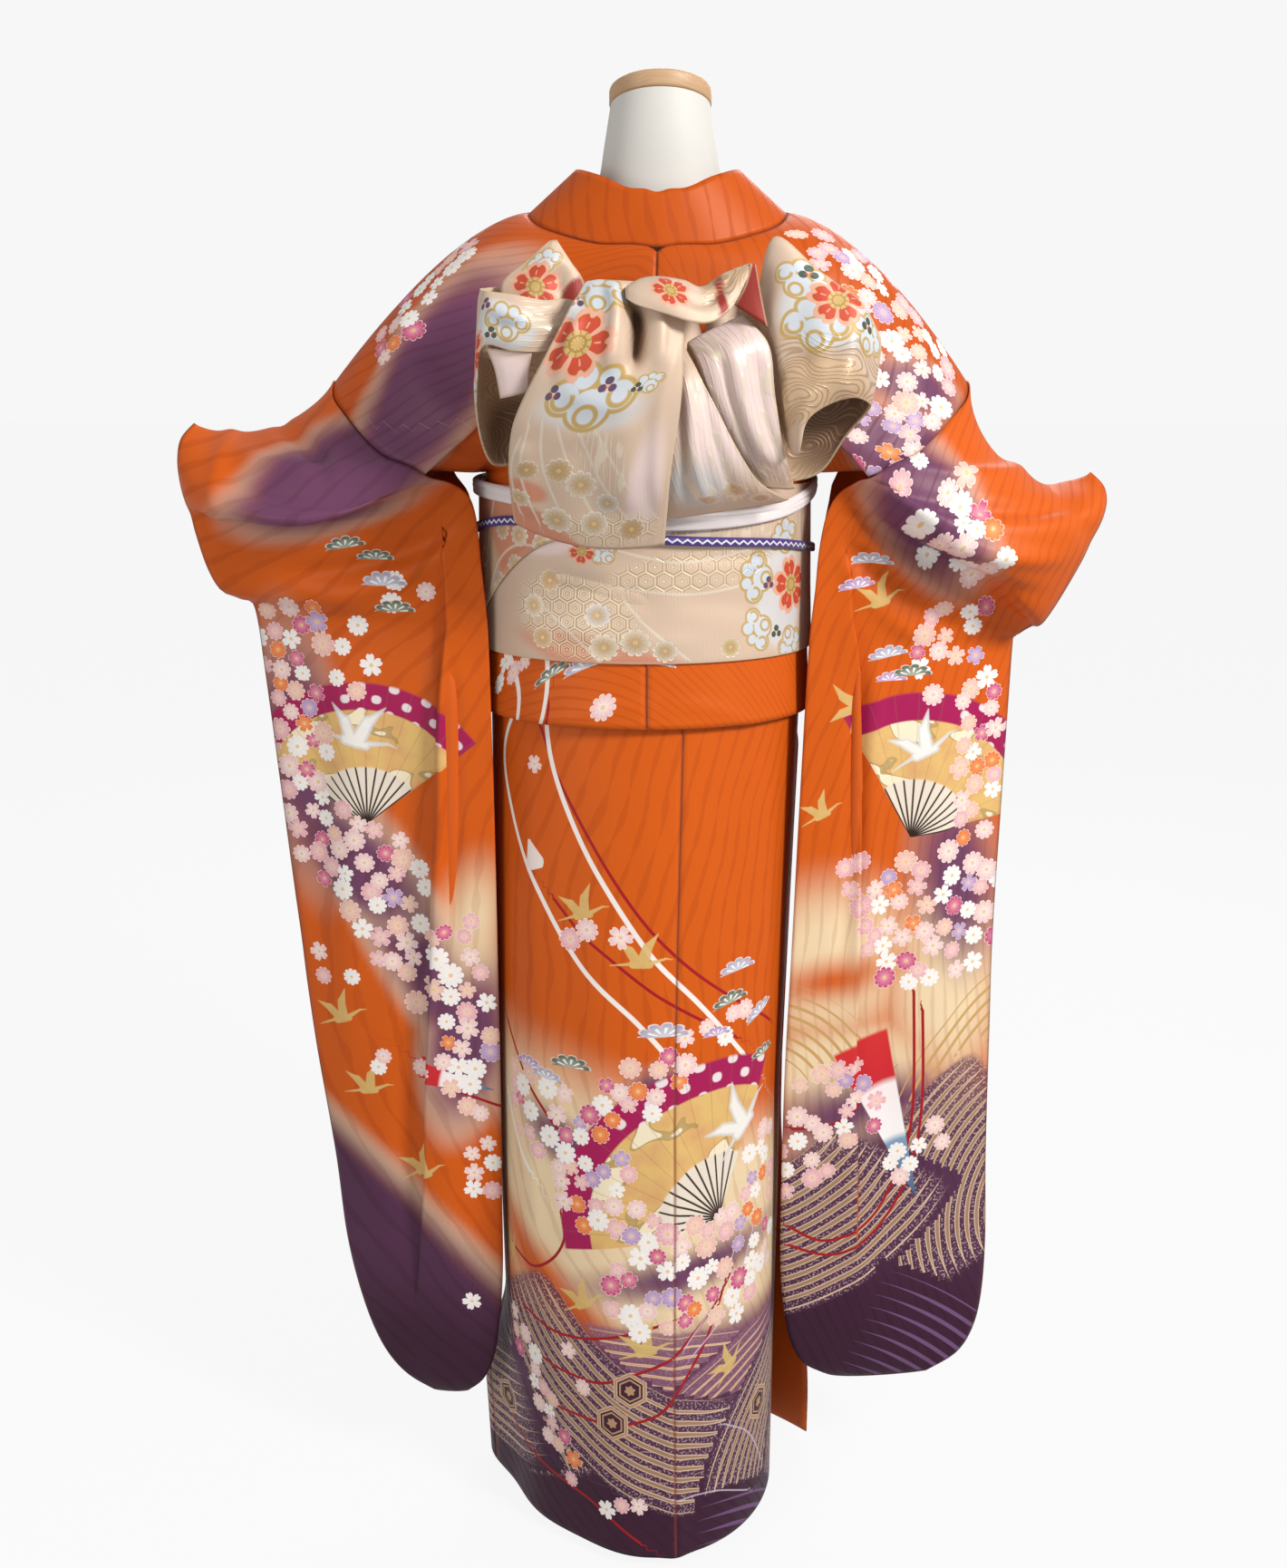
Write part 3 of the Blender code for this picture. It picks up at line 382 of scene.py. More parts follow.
def addPiece(name, mesh, finish, nodes):
    mesh.materials.append(finish.material)
    piece = addObject(name, mesh)
    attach(piece, "root")
    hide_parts(*nodes)
    return piece


def giveWall(piece, thickness, offset=-1.0, lining=None):
    solid = piece.modifiers.new("wall", "SOLIDIFY")
    solid.thickness = thickness
    solid.offset = offset
    solid.use_quality_normals = True
    if lining:
        piece.data.materials.append(lining.material)
        solid.material_offset = 1


# Skirt

tubeRows = np.array((  # z, left, right, back, front of the outer face
    (1130, -157, 146, -119, 112),
    (1030, -159, 148, -122, 113),
    (970, -161, 150, -125, 115),
    (900, -164, 153, -131, 118),
    (680, -165, 146, -145, 122),
    (500, -164, 141, -155, 124),
    (350, -163, 141, -165, 128),
    (200, -160, 139, -177, 133),
    (13, -152, 138, -189, 140),
))[::-1] / perMetre
skirt = {
    "top": 1.03,
    "hem": 0.013,
    "step": 0.003,  # each turn lies this far outside the one below it
    "inset": 0.0021,
    "underEnd": 165.0,
    "overEnd": -346.0,
    "backSeam": -77.0,
    "flare": 0.036,
    "flareTurn": -190,
    "flareSpread": 16,
    "edgeStart": -300,
    "edgeStandsOut": 0.044,
    "edgeLift": 0.008,
    "hemNarrows": 0.012,
    "narrowTurn": -122,
    "narrowSpread": 24,
    "cloth": 0.0015,
    "gap": 0.0003,
    "gapRadius": 0.14,
    "spacing": 0.0055,
    "radius": 0.150,
}
skirtPanels = (  # name, first turn, last turn
    ("overlap_right", 165, 128),
    ("skirt_front_right", 128, 0),
    ("skirt_back_right", 0, -77),
    ("skirt_back_left", -77, -180),
    ("skirt_front_left", -180, -300),
    ("overlap_left", -300, -346),
)


def tubeAt(z):
    left, right, back, front = (np.interp(z, tubeRows[:, 0], tubeRows[:, k]) for k in (1, 2, 3, 4))
    return (left + right) / 2, (back + front) / 2, (right - left) / 2, (front - back) / 2


def roundPoint(turn, z, out):
    # A point of the oval round the body: turn in degrees, 0 at +X, -90 at the back.
    cx, cy, wide, deep = tubeAt(z)
    angle = np.radians(turn)
    x = cx + (wide + out) * np.cos(angle)
    y = cy + (deep + out) * np.sin(angle)
    return np.stack(np.broadcast_arrays(x, y, z), axis=-1)


def skirtOut(turn, z):
    # The spiral's step, the flare at the left hem, the edge that stands out and the narrower back hem.
    out = skirt["step"] * (skirt["underEnd"] - turn) / 360 - skirt["inset"]
    side = np.exp(-(((turn - skirt["flareTurn"]) / skirt["flareSpread"]) ** 2)) * skirt["flare"]
    share = (skirt["edgeStart"] - turn) / (skirt["edgeStart"] - skirt["overEnd"])
    edge = skirt["edgeLift"] + skirt["edgeStandsOut"] * smoothStep((0.45 - z) / 0.4)
    edge = np.clip(share, 0, 1) ** 2 * smoothStep((0.90 - z) / 0.05) * edge
    narrow = np.exp(-(((turn - skirt["narrowTurn"]) / skirt["narrowSpread"]) ** 2)) * skirt["hemNarrows"]
    return out + side * smoothStep((0.25 - z) / 0.13) + edge - narrow * smoothStep((0.5 - z) / 0.45)


def skirtFlat(turn, z):
    # Flat place on the skirt: metres round from the back seam, and height.
    u = np.radians(turn - skirt["backSeam"]) * skirt["radius"]
    return np.stack(np.broadcast_arrays(u, z), axis=-1)


# Body

tuckRows = ((0.905, 128), (0.93, 124), (0.972, 118), (1.03, 112), (1.134, 106))  # z, turn of the front edge
shoulderRows = (
    (1.165, 1.140, -90, -8, 0.188, 0.1620, 0.1255, 0.122, 1),
    (1.220, 1.143, -90, -32, 0.215, 0.200, 0.118, 0.120, 1),
    (1.285, 1.146, -90, -46, 0.220, 0.300, 0.105, 0.120, 1.2),
    (1.345, 1.143, -90, -56, 0.207, 0.380, 0.088, 0.120, 1.4),
    (1.353, 1.161, -73, -45, 0.197, 0.358, 0.082, 0.120, 1.7),
    (1.366, 1.190, -54, -32, 0.175, 0.338, 0.070, 0.113, 2),
    (1.380, 1.208, -30, -20, 0.142, 0.325, 0.055, 0.105, 1.7),
    (1.386, 1.228, 0, 0, 0.120, 0.312, 0.050, 0.100, 1.6),
    (1.372, 1.208, 38, 20, 0.130, 0.325, 0.050, 0.100, 1.7),
    (1.335, 1.190, 62, 32, 0.170, 0.338, 0.080, 0.108, 1.8),
    (1.290, 1.161, 78, 45, 0.210, 0.358, 0.100, 0.112, 1.5),
    (1.245, 1.143, 88, 56, 0.220, 0.380, 0.112, 0.112, 1.2),
    (1.200, 1.143, 97, 32, 0.215, 0.200, 0.119, 0.116, 1),
    (1.168, 1.140, 102, 8, 0.190, 0.1620, 0.121, 0.117, 1),
)
body = {
    "out": 0.0096,
    "frontDrop": 0.0047,
    "sideGap": math.degrees(0.0003 / 2 / 0.13),
    "collarStart": 8,
    "ridge": 12,
    "collarEnd": 19,
    "armholeRows": 4,
    "spacing": 0.0055,
}


def tubeRow(z, turnIn, turnOut):
    # A body row that runs level round the skirt.
    wide, deep = (size + body["out"] for size in tubeAt(z)[2:])
    return (z, z, turnIn, turnOut, wide, wide, deep, deep, 1)


bodyRows = np.array((  # z in/out, turn in/out, wide in/out, deep in/out, bend
    *(tubeRow(z, -90, -body["sideGap"]) for z, turn in tuckRows),
    *shoulderRows,
    *(tubeRow(z, turn, body["sideGap"]) for z, turn in tuckRows[::-1]),
))
axisRows = np.array((  # z, x, y of the body's middle
    (0.900, -0.0055, -0.0065),
    (0.970, -0.0055, -0.0050),
    (1.134, -0.0055, -0.0036),
    (1.220, -0.0010, 0.0000),
    (1.300, 0.0030, 0.0000),
    (1.400, 0.0060, 0.0000),
))


def bodyPoint(side, row, across):
    # A point of a body width: rows run from the back over the shoulder, across from the middle out.
    columns = np.moveaxis(along(bodyRows, row), -1, 0)
    zIn, zOut, turnIn, turnOut, wideIn, wideOut, deepIn, deepOut, bend = columns
    turnIn = np.maximum(turnIn, -90)
    turn = np.radians(turnIn + (turnOut - turnIn) * across)
    reach = np.maximum(across, 0) ** bend
    z = zIn + (zOut - zIn) * reach
    under = body["frontDrop"] * (1 - np.clip(across, 0, 1) ** 4) * smoothStep((row - body["ridge"]) / 3)
    drop = under if side > 0 else 0
    wide = wideIn + (wideOut - wideIn) * across - drop
    deep = deepIn + (deepOut - deepIn) * across - drop
    x = np.interp(z, axisRows[:, 0], axisRows[:, 1]) + side * wide * np.cos(turn)
    y = np.interp(z, axisRows[:, 0], axisRows[:, 2]) + deep * np.sin(turn)
    return np.stack(np.broadcast_arrays(x, y, z), axis=-1)


def bodySteps():
    # Fine row numbers, which keep the rows where the collar starts, turns and ends.
    stops = (0, body["collarStart"], body["ridge"], body["collarEnd"], len(bodyRows) - 1)
    return evenRows(lambda row: bodyPoint(1, row, 0.4), stops, body["spacing"])


def bodyGrid(side, rows, columns=41):
    across = np.linspace(0, 1, columns)
    across = np.concatenate([[-across[1]], across, [2 - across[-2]]])[None, :]
    wide = bodyPoint(side, rows[:, None], across)
    normals = pointNormals(wide, gridQuads(*wide.shape[:2], flip=side < 0))
    return wide[:, 1:-1], normals[:, 1:-1]


# Collar

collar = {
    "cloth": 0.003,
    "gap": 0.0005,
    "columns": 13,
    "softenings": 12,
    "softRows": 5.0,
}
collarRise = np.array((  # how the free edge lies from the seam: x, y, z, belly
    (0, 10, 49, 0),
    (-29, 5, 50, 0),
    (-48, -3, 49, 0),
    (-48, -8, 42, 0),
    (-40, -4, 35, 0),
    (-30, 0, 36, 1),
    (-36, 4, 28, 1),
    (-44, -2, 26, 0),
    (-47, -7.8, 26, -0.7),
    (-48, -10, 20, -0.2),
    (-50, -11, 10, -0.5),
    (-52, -20.5, 0, 2.5),
)) / perMetre


def collarHalf(side, steps):
    # One half of the band, from the centre back to the sash.
    points, normals = bodyGrid(side, steps)
    chosen = (steps >= body["collarStart"]) & (steps <= body["collarEnd"])
    rows = steps[chosen]
    seamLine = points[chosen, 0]
    off = np.cross(np.gradient(seamLine, axis=0), normals[chosen, 0]) * -side
    off /= np.linalg.norm(off, axis=-1)[:, None]
    seam = seamLine + off * collar["gap"]
    rise = along(collarRise, rows - body["collarStart"]) * (side, 1, 1, 1)
    share = np.linspace(0, 1, collar["columns"])[None, :, None]
    band = seam[:, None, :] + rise[:, None, :3] * share
    band[..., 1] += (rise[:, None, 3:] * 4 * share * (1 - share))[..., 0]
    return band


# Sleeves

sleeveLeft = np.array((  # xFront xBack zIn yIn halfIn xOut zOut yOut halfOut sag puff
    (0, 0, 0, 0, 0, -457, 1186, 0, 0, 27, 0),
    (0, 0, 0, 0, 0, -465, 1172, 0, 18, 32, 27),
    (0, 0, 0, 0, 0, -466, 1152, 0, 30, 40, 42),
    (0, 0, 0, 0, 0, -463, 1130, 0, 36, 37, 48),
    (0, 0, 0, 0, 0, -460, 1113, 0, 34, 27, 44),
    (-200, -184, 1129, -5, 73, -457, 1100, 0, 29, 10, 20),
    (-187, -171, 1106, -10, 63, -454, 1080, 0, 26, 10, 15),
    (-181, -166, 1050, -16, 56, -446, 1046, 0, 21, 6, 14),
    (-179, -163, 1018, -22, 50, -435, 1023, 0, 16, 3, 13),
    (-178, -162, 1004, -26, 46, -418, 1014, 0, 10, 2, 13),
    (-178, -161, 985, -28, 44, -405, 1002, 0, 0, 3, 13),
    (-177, -160, 920, -30, 42, -398, 935, 0, 0, 2, 13),
    (-176, -159, 790, -32, 40, -387, 800, -2, 0, 0, 13),
    (-175, -159, 650, -35, 37, -376, 665, -5, 0, 0, 13),
    (-174, -159, 520, -38, 34, -364, 535, -10, 0, 0, 12),
    (-173, -160, 390, -42, 31, -347, 400, -16, 0, 0, 12),
    (-174, -161, 291, -46, 27, -337, 301, -24, 0, 0, 11),
    (-177, -166, 226, -50, 22, -321, 228, -32, 0, 2, 10),
    (-180, -173, 181, -53, 16, -301, 175, -38, 0, 4, 8),
    (-189, -186, 149, -56, 9, -276, 143, -44, 0, 4, 5),
    (-205, -205, 129, -58, 0, -244, 125, -50, 0, 2, 0),
)) / perMetre
sleeveRight = np.array((
    (0, 0, 0, 0, 0, 442, 1138, 0, 0, 52, 0),
    (0, 0, 0, 0, 0, 452, 1122, 0, 16, 46, 27),
    (0, 0, 0, 0, 0, 447, 1096, 0, 30, 40, 42),
    (0, 0, 0, 0, 0, 422, 1046, 0, 40, 20, 46),
    (0, 0, 0, 0, 0, 394, 996, 0, 40, -4, 44),
    (190, 184, 1128, -5, 73, 386, 988, 0, 24, -6, 20),
    (184, 170, 1106, -10, 63, 382, 984, 0, 17, -6, 15),
    (177, 163, 1070, -16, 56, 379, 981, 0, 13, -4, 14),
    (174, 160, 1030, -22, 50, 376, 978, 0, 10, -2, 13),
    (172, 157, 1000, -26, 46, 373, 975, 0, 6, 0, 13),
    (171, 155, 970, -28, 44, 371, 966, 0, 0, 0, 13),
    (169, 153, 915, -30, 42, 370, 915, 0, 0, 0, 13),
    (166, 149, 790, -32, 40, 368, 800, -2, 0, 0, 13),
    (162, 145, 650, -35, 37, 366, 665, -5, 0, 0, 13),
    (157, 141, 520, -38, 34, 367, 535, -10, 0, 0, 12),
    (154, 140, 390, -42, 31, 369, 400, -16, 0, 0, 12),
    (153, 141, 296, -46, 27, 372, 299, -24, 0, 0, 11),
    (156, 146, 239, -50, 22, 369, 234, -32, 0, 1, 10),
    (162, 154, 199, -53, 16, 360, 194, -38, 0, 3, 8),
    (174, 169, 169, -56, 9, 342, 167, -44, 0, 4, 5),
    (196, 196, 151, -58, 0, 309, 149, -50, 0, 5, 0),
)) / perMetre
sleeve = {
    "cuffEnd": 10,
    "pleatDepth": 0.0045,
    "gap": 0.0006,
    "frontFullness": 0.85,
    "sagSkew": {-1: 0.90, 1: 0.65},
    "spacing": 0.0060,
    "cloth": 0.0015,
}
pleats = {  # row, place, overlap of the lengthwise pleat
    -1: (
        (6, 0.06, 0), (9, 0.10, 0.020), (12, 0.19, 0.030),
        (14, 0.34, 0.024), (16, 0.52, 0.006), (17, 0.60, 0),
    ),
    1: (
        (6, 0.10, 0), (9, 0.18, 0.008), (12, 0.27, 0.016),
        (14, 0.32, 0.012), (16, 0.36, 0), (17, 0.40, 0),
    ),
}


def pleatAt(side, row):
    table = np.array(pleats[side])
    return np.interp(row, table[:, 0], table[:, 1]), np.interp(row, table[:, 0], table[:, 2])


def armholeEdge(side, sign, rows):
    edge = bodyPoint(side, body["ridge"] + sign * rows, 1.0)
    return np.stack([edge[:, 0] + side * sleeve["gap"], edge[:, 2], edge[:, 1]], axis=-1)


def sleeveLayer(side, table, rows, steps, front):
    # One layer of a sleeve: rows from the top fold to the bottom seam, steps 0 to 2 from the inner edge.
    row, step = rows[:, None], steps[None, :]
    place, overlap = pleatAt(side, row)
    place = np.clip(place, 0.12, 0.6)
    share = np.where(step <= 1, place * step, place + (1 - place) * (step - 1))
    sign = 1 if front else -1
    fullness = sleeve["frontFullness"] if front else 1
    inner = table[:, (0 if front else 1, 2, 3)]
    inner[:, 2] += sign * table[:, 4] * fullness
    inner[: body["armholeRows"] + 1] = armholeEdge(side, sign, np.arange(body["armholeRows"] + 1.0))
    inner = along(inner, rows)
    sewn = rows <= body["armholeRows"]
    inner[sewn] = armholeEdge(side, sign, rows[sewn])
    xIn, zIn, yIn = (inner[:, None, k] for k in range(3))
    xOut, zOut, yOut, halfOut, sag, puff = (along(table[:, 5:], rows)[:, None, k] for k in range(6))
    hump = (4 * share * (1 - share)) ** 0.85
    skewed = share ** sleeve["sagSkew"][side]
    x = xIn + (xOut - xIn) * share
    z = zIn + (zOut - zIn) * share - sag * (4 * skewed * (1 - skewed)) ** 0.85
    y = yIn + (yOut + sign * halfOut - yIn) * share + sign * puff * fullness * hump
    if not front:
        backTurn = (np.clip((step - 0.97) / 0.06, 0, 1) - 0.5) * np.exp(-(((step - 1) / 0.35) ** 2))
        x = x - side * overlap * backTurn
        y = y + sleeve["pleatDepth"] * 2 * backTurn * np.clip(overlap / 0.012, 0, 1)
    return np.stack(np.broadcast_arrays(x, y, z), axis=-1)


# The dyed colours and the painted shade: where orange turns to purple and cream, and where the upper body,
# the collar and the bow's hollows are painted darker as shade

dyesAndShades = {
    "orange": (0.610, 0.098, 0.006),
    # orange darkened as painted shade for the upper body and the collar
    "deepOrange": (0.515, 0.080, 0.005),
    "midPurple": (0.150, 0.050, 0.112),
    "purple": (0.083, 0.027, 0.068),
    "darkPurple": (0.044, 0.012, 0.033),
    "cream": (0.80, 0.61, 0.38),
    "halo": (0.78, 0.50, 0.32),
    "champagne": (0.64, 0.470, 0.345),
    "salmon": (0.62, 0.25, 0.15),
    "lilac": (0.80, 0.62, 0.58),
    "silver": (0.64, 0.62, 0.61),
    "gold": (0.60, 0.41, 0.25),
    "lining": (0.27, 0.010, 0.005),
    # inside: dark brown painted shade in the bow's fold pocket and in the loops' hollows
    "inside": (0.16, 0.080, 0.045),
}


def blobs(cut, table):
    # How far each place lies inside soft stretched ovals: u, v, half long, half short, lean, edge.
    inside = np.zeros(cut.shape[:-1])
    for u0, v0, reach, short, lean, edge in table:
        c, s = math.cos(math.radians(lean)), math.sin(math.radians(lean))
        du, dv = cut[..., 0] - u0, cut[..., 1] - v0
        a, b = du * c + dv * s, dv * c - du * s
        r = np.sqrt((a / reach) ** 2 + (b / short) ** 2)
        inside = np.maximum(inside, smoothStep((1 - r) * short / edge + 0.5))
    return inside


def mixZoneColor(color, amount, name):
    return color + (np.array(dyesAndShades[name]) - color) * amount[..., None]


def dyeAndShadeCloth(cut, zones, ground):
    # Lays each zone over the ground, dyed zones and painted shade zones alike, with a pale halo where a
    # purple zone starts.
    color = np.broadcast_to(np.array(dyesAndShades[ground]), (*cut.shape[:-1], 3)).copy()
    for name, table, halo in zones:
        amount = blobs(cut, table)
        color = mixZoneColor(color, np.clip(4 * amount * (1 - amount), 0, 1) * halo, "halo")
        color = mixZoneColor(color, amount, name)
    return color


# Motifs on face corners

motifKinds = {"cherry": 1, "daisy": 2, "pine": 3}
flowerLayers = ("flowersA", "flowersB", "flowersC")
crestLayers = ("crestsA", "crestsB", "crestsC")


def apart(one, other):
    return math.hypot(one[0] - other[0], one[1] - other[1])


def motifLayers(corner, motifs, layers=3):
    # Shares motifs over layers in which none covers another; each face corner gets its place in its motif.
    middle = corner.mean(axis=1)
    cell = np.percentile(np.linalg.norm(corner - middle[:, None], axis=2), 95)
    fields = [np.full((*corner.shape[:2], 3), (9.0, 9.0, 0.0)) for _ in range(layers)]
    nearest = [np.full(len(corner), 9.0) for _ in range(layers)]
    chosen = [[] for _ in range(layers)]
    for motif in motifs:
        for group in chosen:
            if all(apart(motif, other) > 0.97 * (motif[2] + other[2]) for other in group):
                group.append(motif)
                break
    for field, best, group in zip(fields, nearest, chosen):
        for u, v, size, angle, code in group:
            away = np.hypot(middle[:, 0] - u, middle[:, 1] - v) / size
            hit = (away < 1.05 + cell / size) & (away < best)
            best[hit] = away[hit]
            offset = (corner[hit] - (u, v)) / size
            c, s = math.cos(angle), math.sin(angle)
            field[hit, :, 0] = offset[..., 0] * c + offset[..., 1] * s
            field[hit, :, 1] = offset[..., 1] * c - offset[..., 0] * s
            field[hit, :, 2] = code
    return fields


def lineField(faceCorner, curves):
    # Signed distance in metres of each face corner from the curve nearest to its face.
    corner = faceCorner.reshape(-1, 2)
    if not curves:
        return np.full(len(corner), 9.0)
    found = []
    for curve in curves:
        path = along(np.array(curve), np.linspace(0, len(curve) - 1, 8 * len(curve)))
        start, run = path[:-1], np.diff(path, axis=0)
        near = np.full(len(corner), 9000.0)
        signed = near.copy()
        for k in range(len(run)):
            gap = corner - start[k]
            t = np.clip(gap @ run[k] / (run[k] @ run[k]), 0, 1)
            away = gap - t[:, None] * run[k]
            reach = np.hypot(away[:, 0], away[:, 1])
            side = np.sign(gap[:, 1] * run[k][0] - gap[:, 0] * run[k][1])
            closer = reach < near
            near[closer] = reach[closer]
            signed[closer] = (reach * np.where(side == 0, 1, side))[closer]
        found.append(signed.reshape(-1, 4))
    found = np.array(found) / perMetre
    nearest = abs(found).mean(axis=2).argmin(axis=0)
    return found[nearest, np.arange(len(faceCorner))].reshape(-1)


def waveField(corner, sweeps):
    # Sweeping stripes: rings round a far centre, between two radii and two angles, tapering at the ends.
    taper = 30
    field = np.zeros((*corner.shape[:2], 3))
    for u0, v0, near, far, first, last, pitch, tone in sweeps:
        du, dv = corner[..., 0] - u0, corner[..., 1] - v0
        r = np.hypot(du, dv)
        t = (np.degrees(np.arctan2(dv, du)) - first) % 360 / ((last - first) % 360)
        inside = (r > near) & (r < far) & (t < 1)
        width = 0.5 * smoothStep(t / 0.22) * smoothStep((1 - t) / 0.30)
        width = width * smoothStep((r - near) / taper) * smoothStep((far - r) / taper)
        hit = inside.mean(axis=1) > 0.5
        field[hit, :, 0] = (r / pitch)[hit]
        field[hit, :, 1] = np.where(t < 1, width, 0)[hit]
        field[hit, :, 2] = tone
    return field


strewn = {"enlarge": 1.1, "closest": 0.68, "cherryShare": 0.35}


def scatter(seed, zones):
    # Flowers strewn in soft ovals: u, v, half long, half short, lean, count, sizes, mix of flowers.
    rng = np.random.default_rng(seed)
    motifs = []
    for u0, v0, reach, short, lean, count, small, large, mix in zones:
        c, s = math.cos(math.radians(lean)), math.sin(math.radians(lean))
        for _ in range(count):
            r, turn = rng.random() ** 0.55, rng.random() * 2 * math.pi
            a, b = r * math.cos(turn) * reach, r * math.sin(turn) * short
            size = strewn["enlarge"] * (small + (large - small) * rng.random() ** 1.5)
            shade = mix[int(rng.random() * len(mix))]
            kind = motifKinds["cherry" if rng.random() < strewn["cherryShare"] else "daisy"]
            spot = (u0 + a * c - b * s, v0 + a * s + b * c)
            if all(apart(spot, other) > strewn["closest"] * (size + other[2]) for other in motifs):
                motifs.append((*spot, size, rng.random() * 2 * math.pi, kind + shade))
    return motifs


def shades(*colors):
    # A colour for each tenth of a ramp.
    return [(0.1 * k, color) for k, color in enumerate(colors)]


# Flower tints are the tenths after the motif's kind.
tintNames = ("white", "palePink", "pink", "rose", "orange", "magenta", "mauve", "grey", "green", "gold")
tint = {name: 0.05 + 0.1 * k for k, name in enumerate(tintNames)}
softNames = ["white"] * 3 + ["palePink"] * 3 + ["pink"] * 2 + ["rose"] * 2 + ["orange", "magenta", "mauve"]
softMix = [tint[name] for name in softNames]
paleMix = [tint[name] for name in ("white", "palePink", "palePink", "pink", "white")]
petalColors = shades(  # outer colour of the petals, for each tint
    (0.86, 0.80, 0.76), (0.82, 0.50, 0.47), (0.76, 0.36, 0.38), (0.80, 0.44, 0.36), (0.78, 0.16, 0.03),
    (0.52, 0.04, 0.16), (0.42, 0.26, 0.46), (0.40, 0.36, 0.46), (0.10, 0.12, 0.08), (0.72, 0.47, 0.14),
)
heartColors = shades(
    (0.90, 0.86, 0.82), (0.90, 0.80, 0.76), (0.88, 0.66, 0.64), (0.86, 0.66, 0.55), (0.86, 0.36, 0.14),
    (0.80, 0.36, 0.44), (0.66, 0.50, 0.66), (0.62, 0.60, 0.66), (0.42, 0.44, 0.36), (0.80, 0.62, 0.28),
)


def flowerLayer(finish, name, color, hearts, petals):
    # Five broad petals with a notch, ten narrow ones, or a pine tuft; the edge falls between the petals.
    x, y, code = finish.attribute(name)
    kind = code.whole()
    five = kind.near(1.0, 0.4)
    pine = kind.near(3.0, 0.4)
    tuftY = y * (1 + pine * 0.75) + pine * 0.35
    r = (x * x + tuftY * tuftY) ** 0.5
    count = 10 - five * 5
    c = abs((finish.turnOf(x, tuftY) * count * (0.5 / math.pi) + 40.25).fraction() - 0.5) * 2
    depth = 0.97 - (c ** 3) * (0.26 + five * 0.30) - c.below(0.16, 0.12) * five * 0.10 - r
    mask = depth.above(0.0, 0.05) * kind.above(0.5, 0.1) * (1 - pine * tuftY.below(0.0, 0.06))
    outer = finish.ramp(code - kind, petals, True)
    petal = finish.mix((r * 1.15).unit(), finish.ramp(code - kind, hearts, True), outer)
    ray = c.below(0.34, 0.16) * r.below(0.62, 0.06) * r.above(0.25, 0.06) * pine
    petal = finish.mix(ray * 0.9, petal, (0.90, 0.90, 0.84))
    between = c.above(0.88, 0.14) * r.above(0.30, 0.1) * r.below(0.88, 0.1) * 0.55 * (1 - pine)
    petal = finish.mix(between, petal, outer, "MULTIPLY")
    rim = depth.below(0.075, 0.05) * 0.65
    heart = r.below(0.17, 0.05) * (1 - pine) * 0.9
    petal = finish.paint(petal, (rim, (0.90, 0.84, 0.78)), (heart, (0.80, 0.52, 0.24)))
    return finish.mix(mask, color, petal), mask


def spindle(x, y, ax, ay, bx, by, first, last):
    # Distance from a rounded bar between two points, whose half width runs from first to last.
    dx, dy = bx - ax, by - ay
    t = (((x - ax) * dx + (y - ay) * dy) * (1 / (dx * dx + dy * dy))).unit()
    gapX, gapY = x - ax - t * dx, y - ay - t * dy
    return (gapX * gapX + gapY * gapY) ** 0.5 - (t * (last - first) + first)


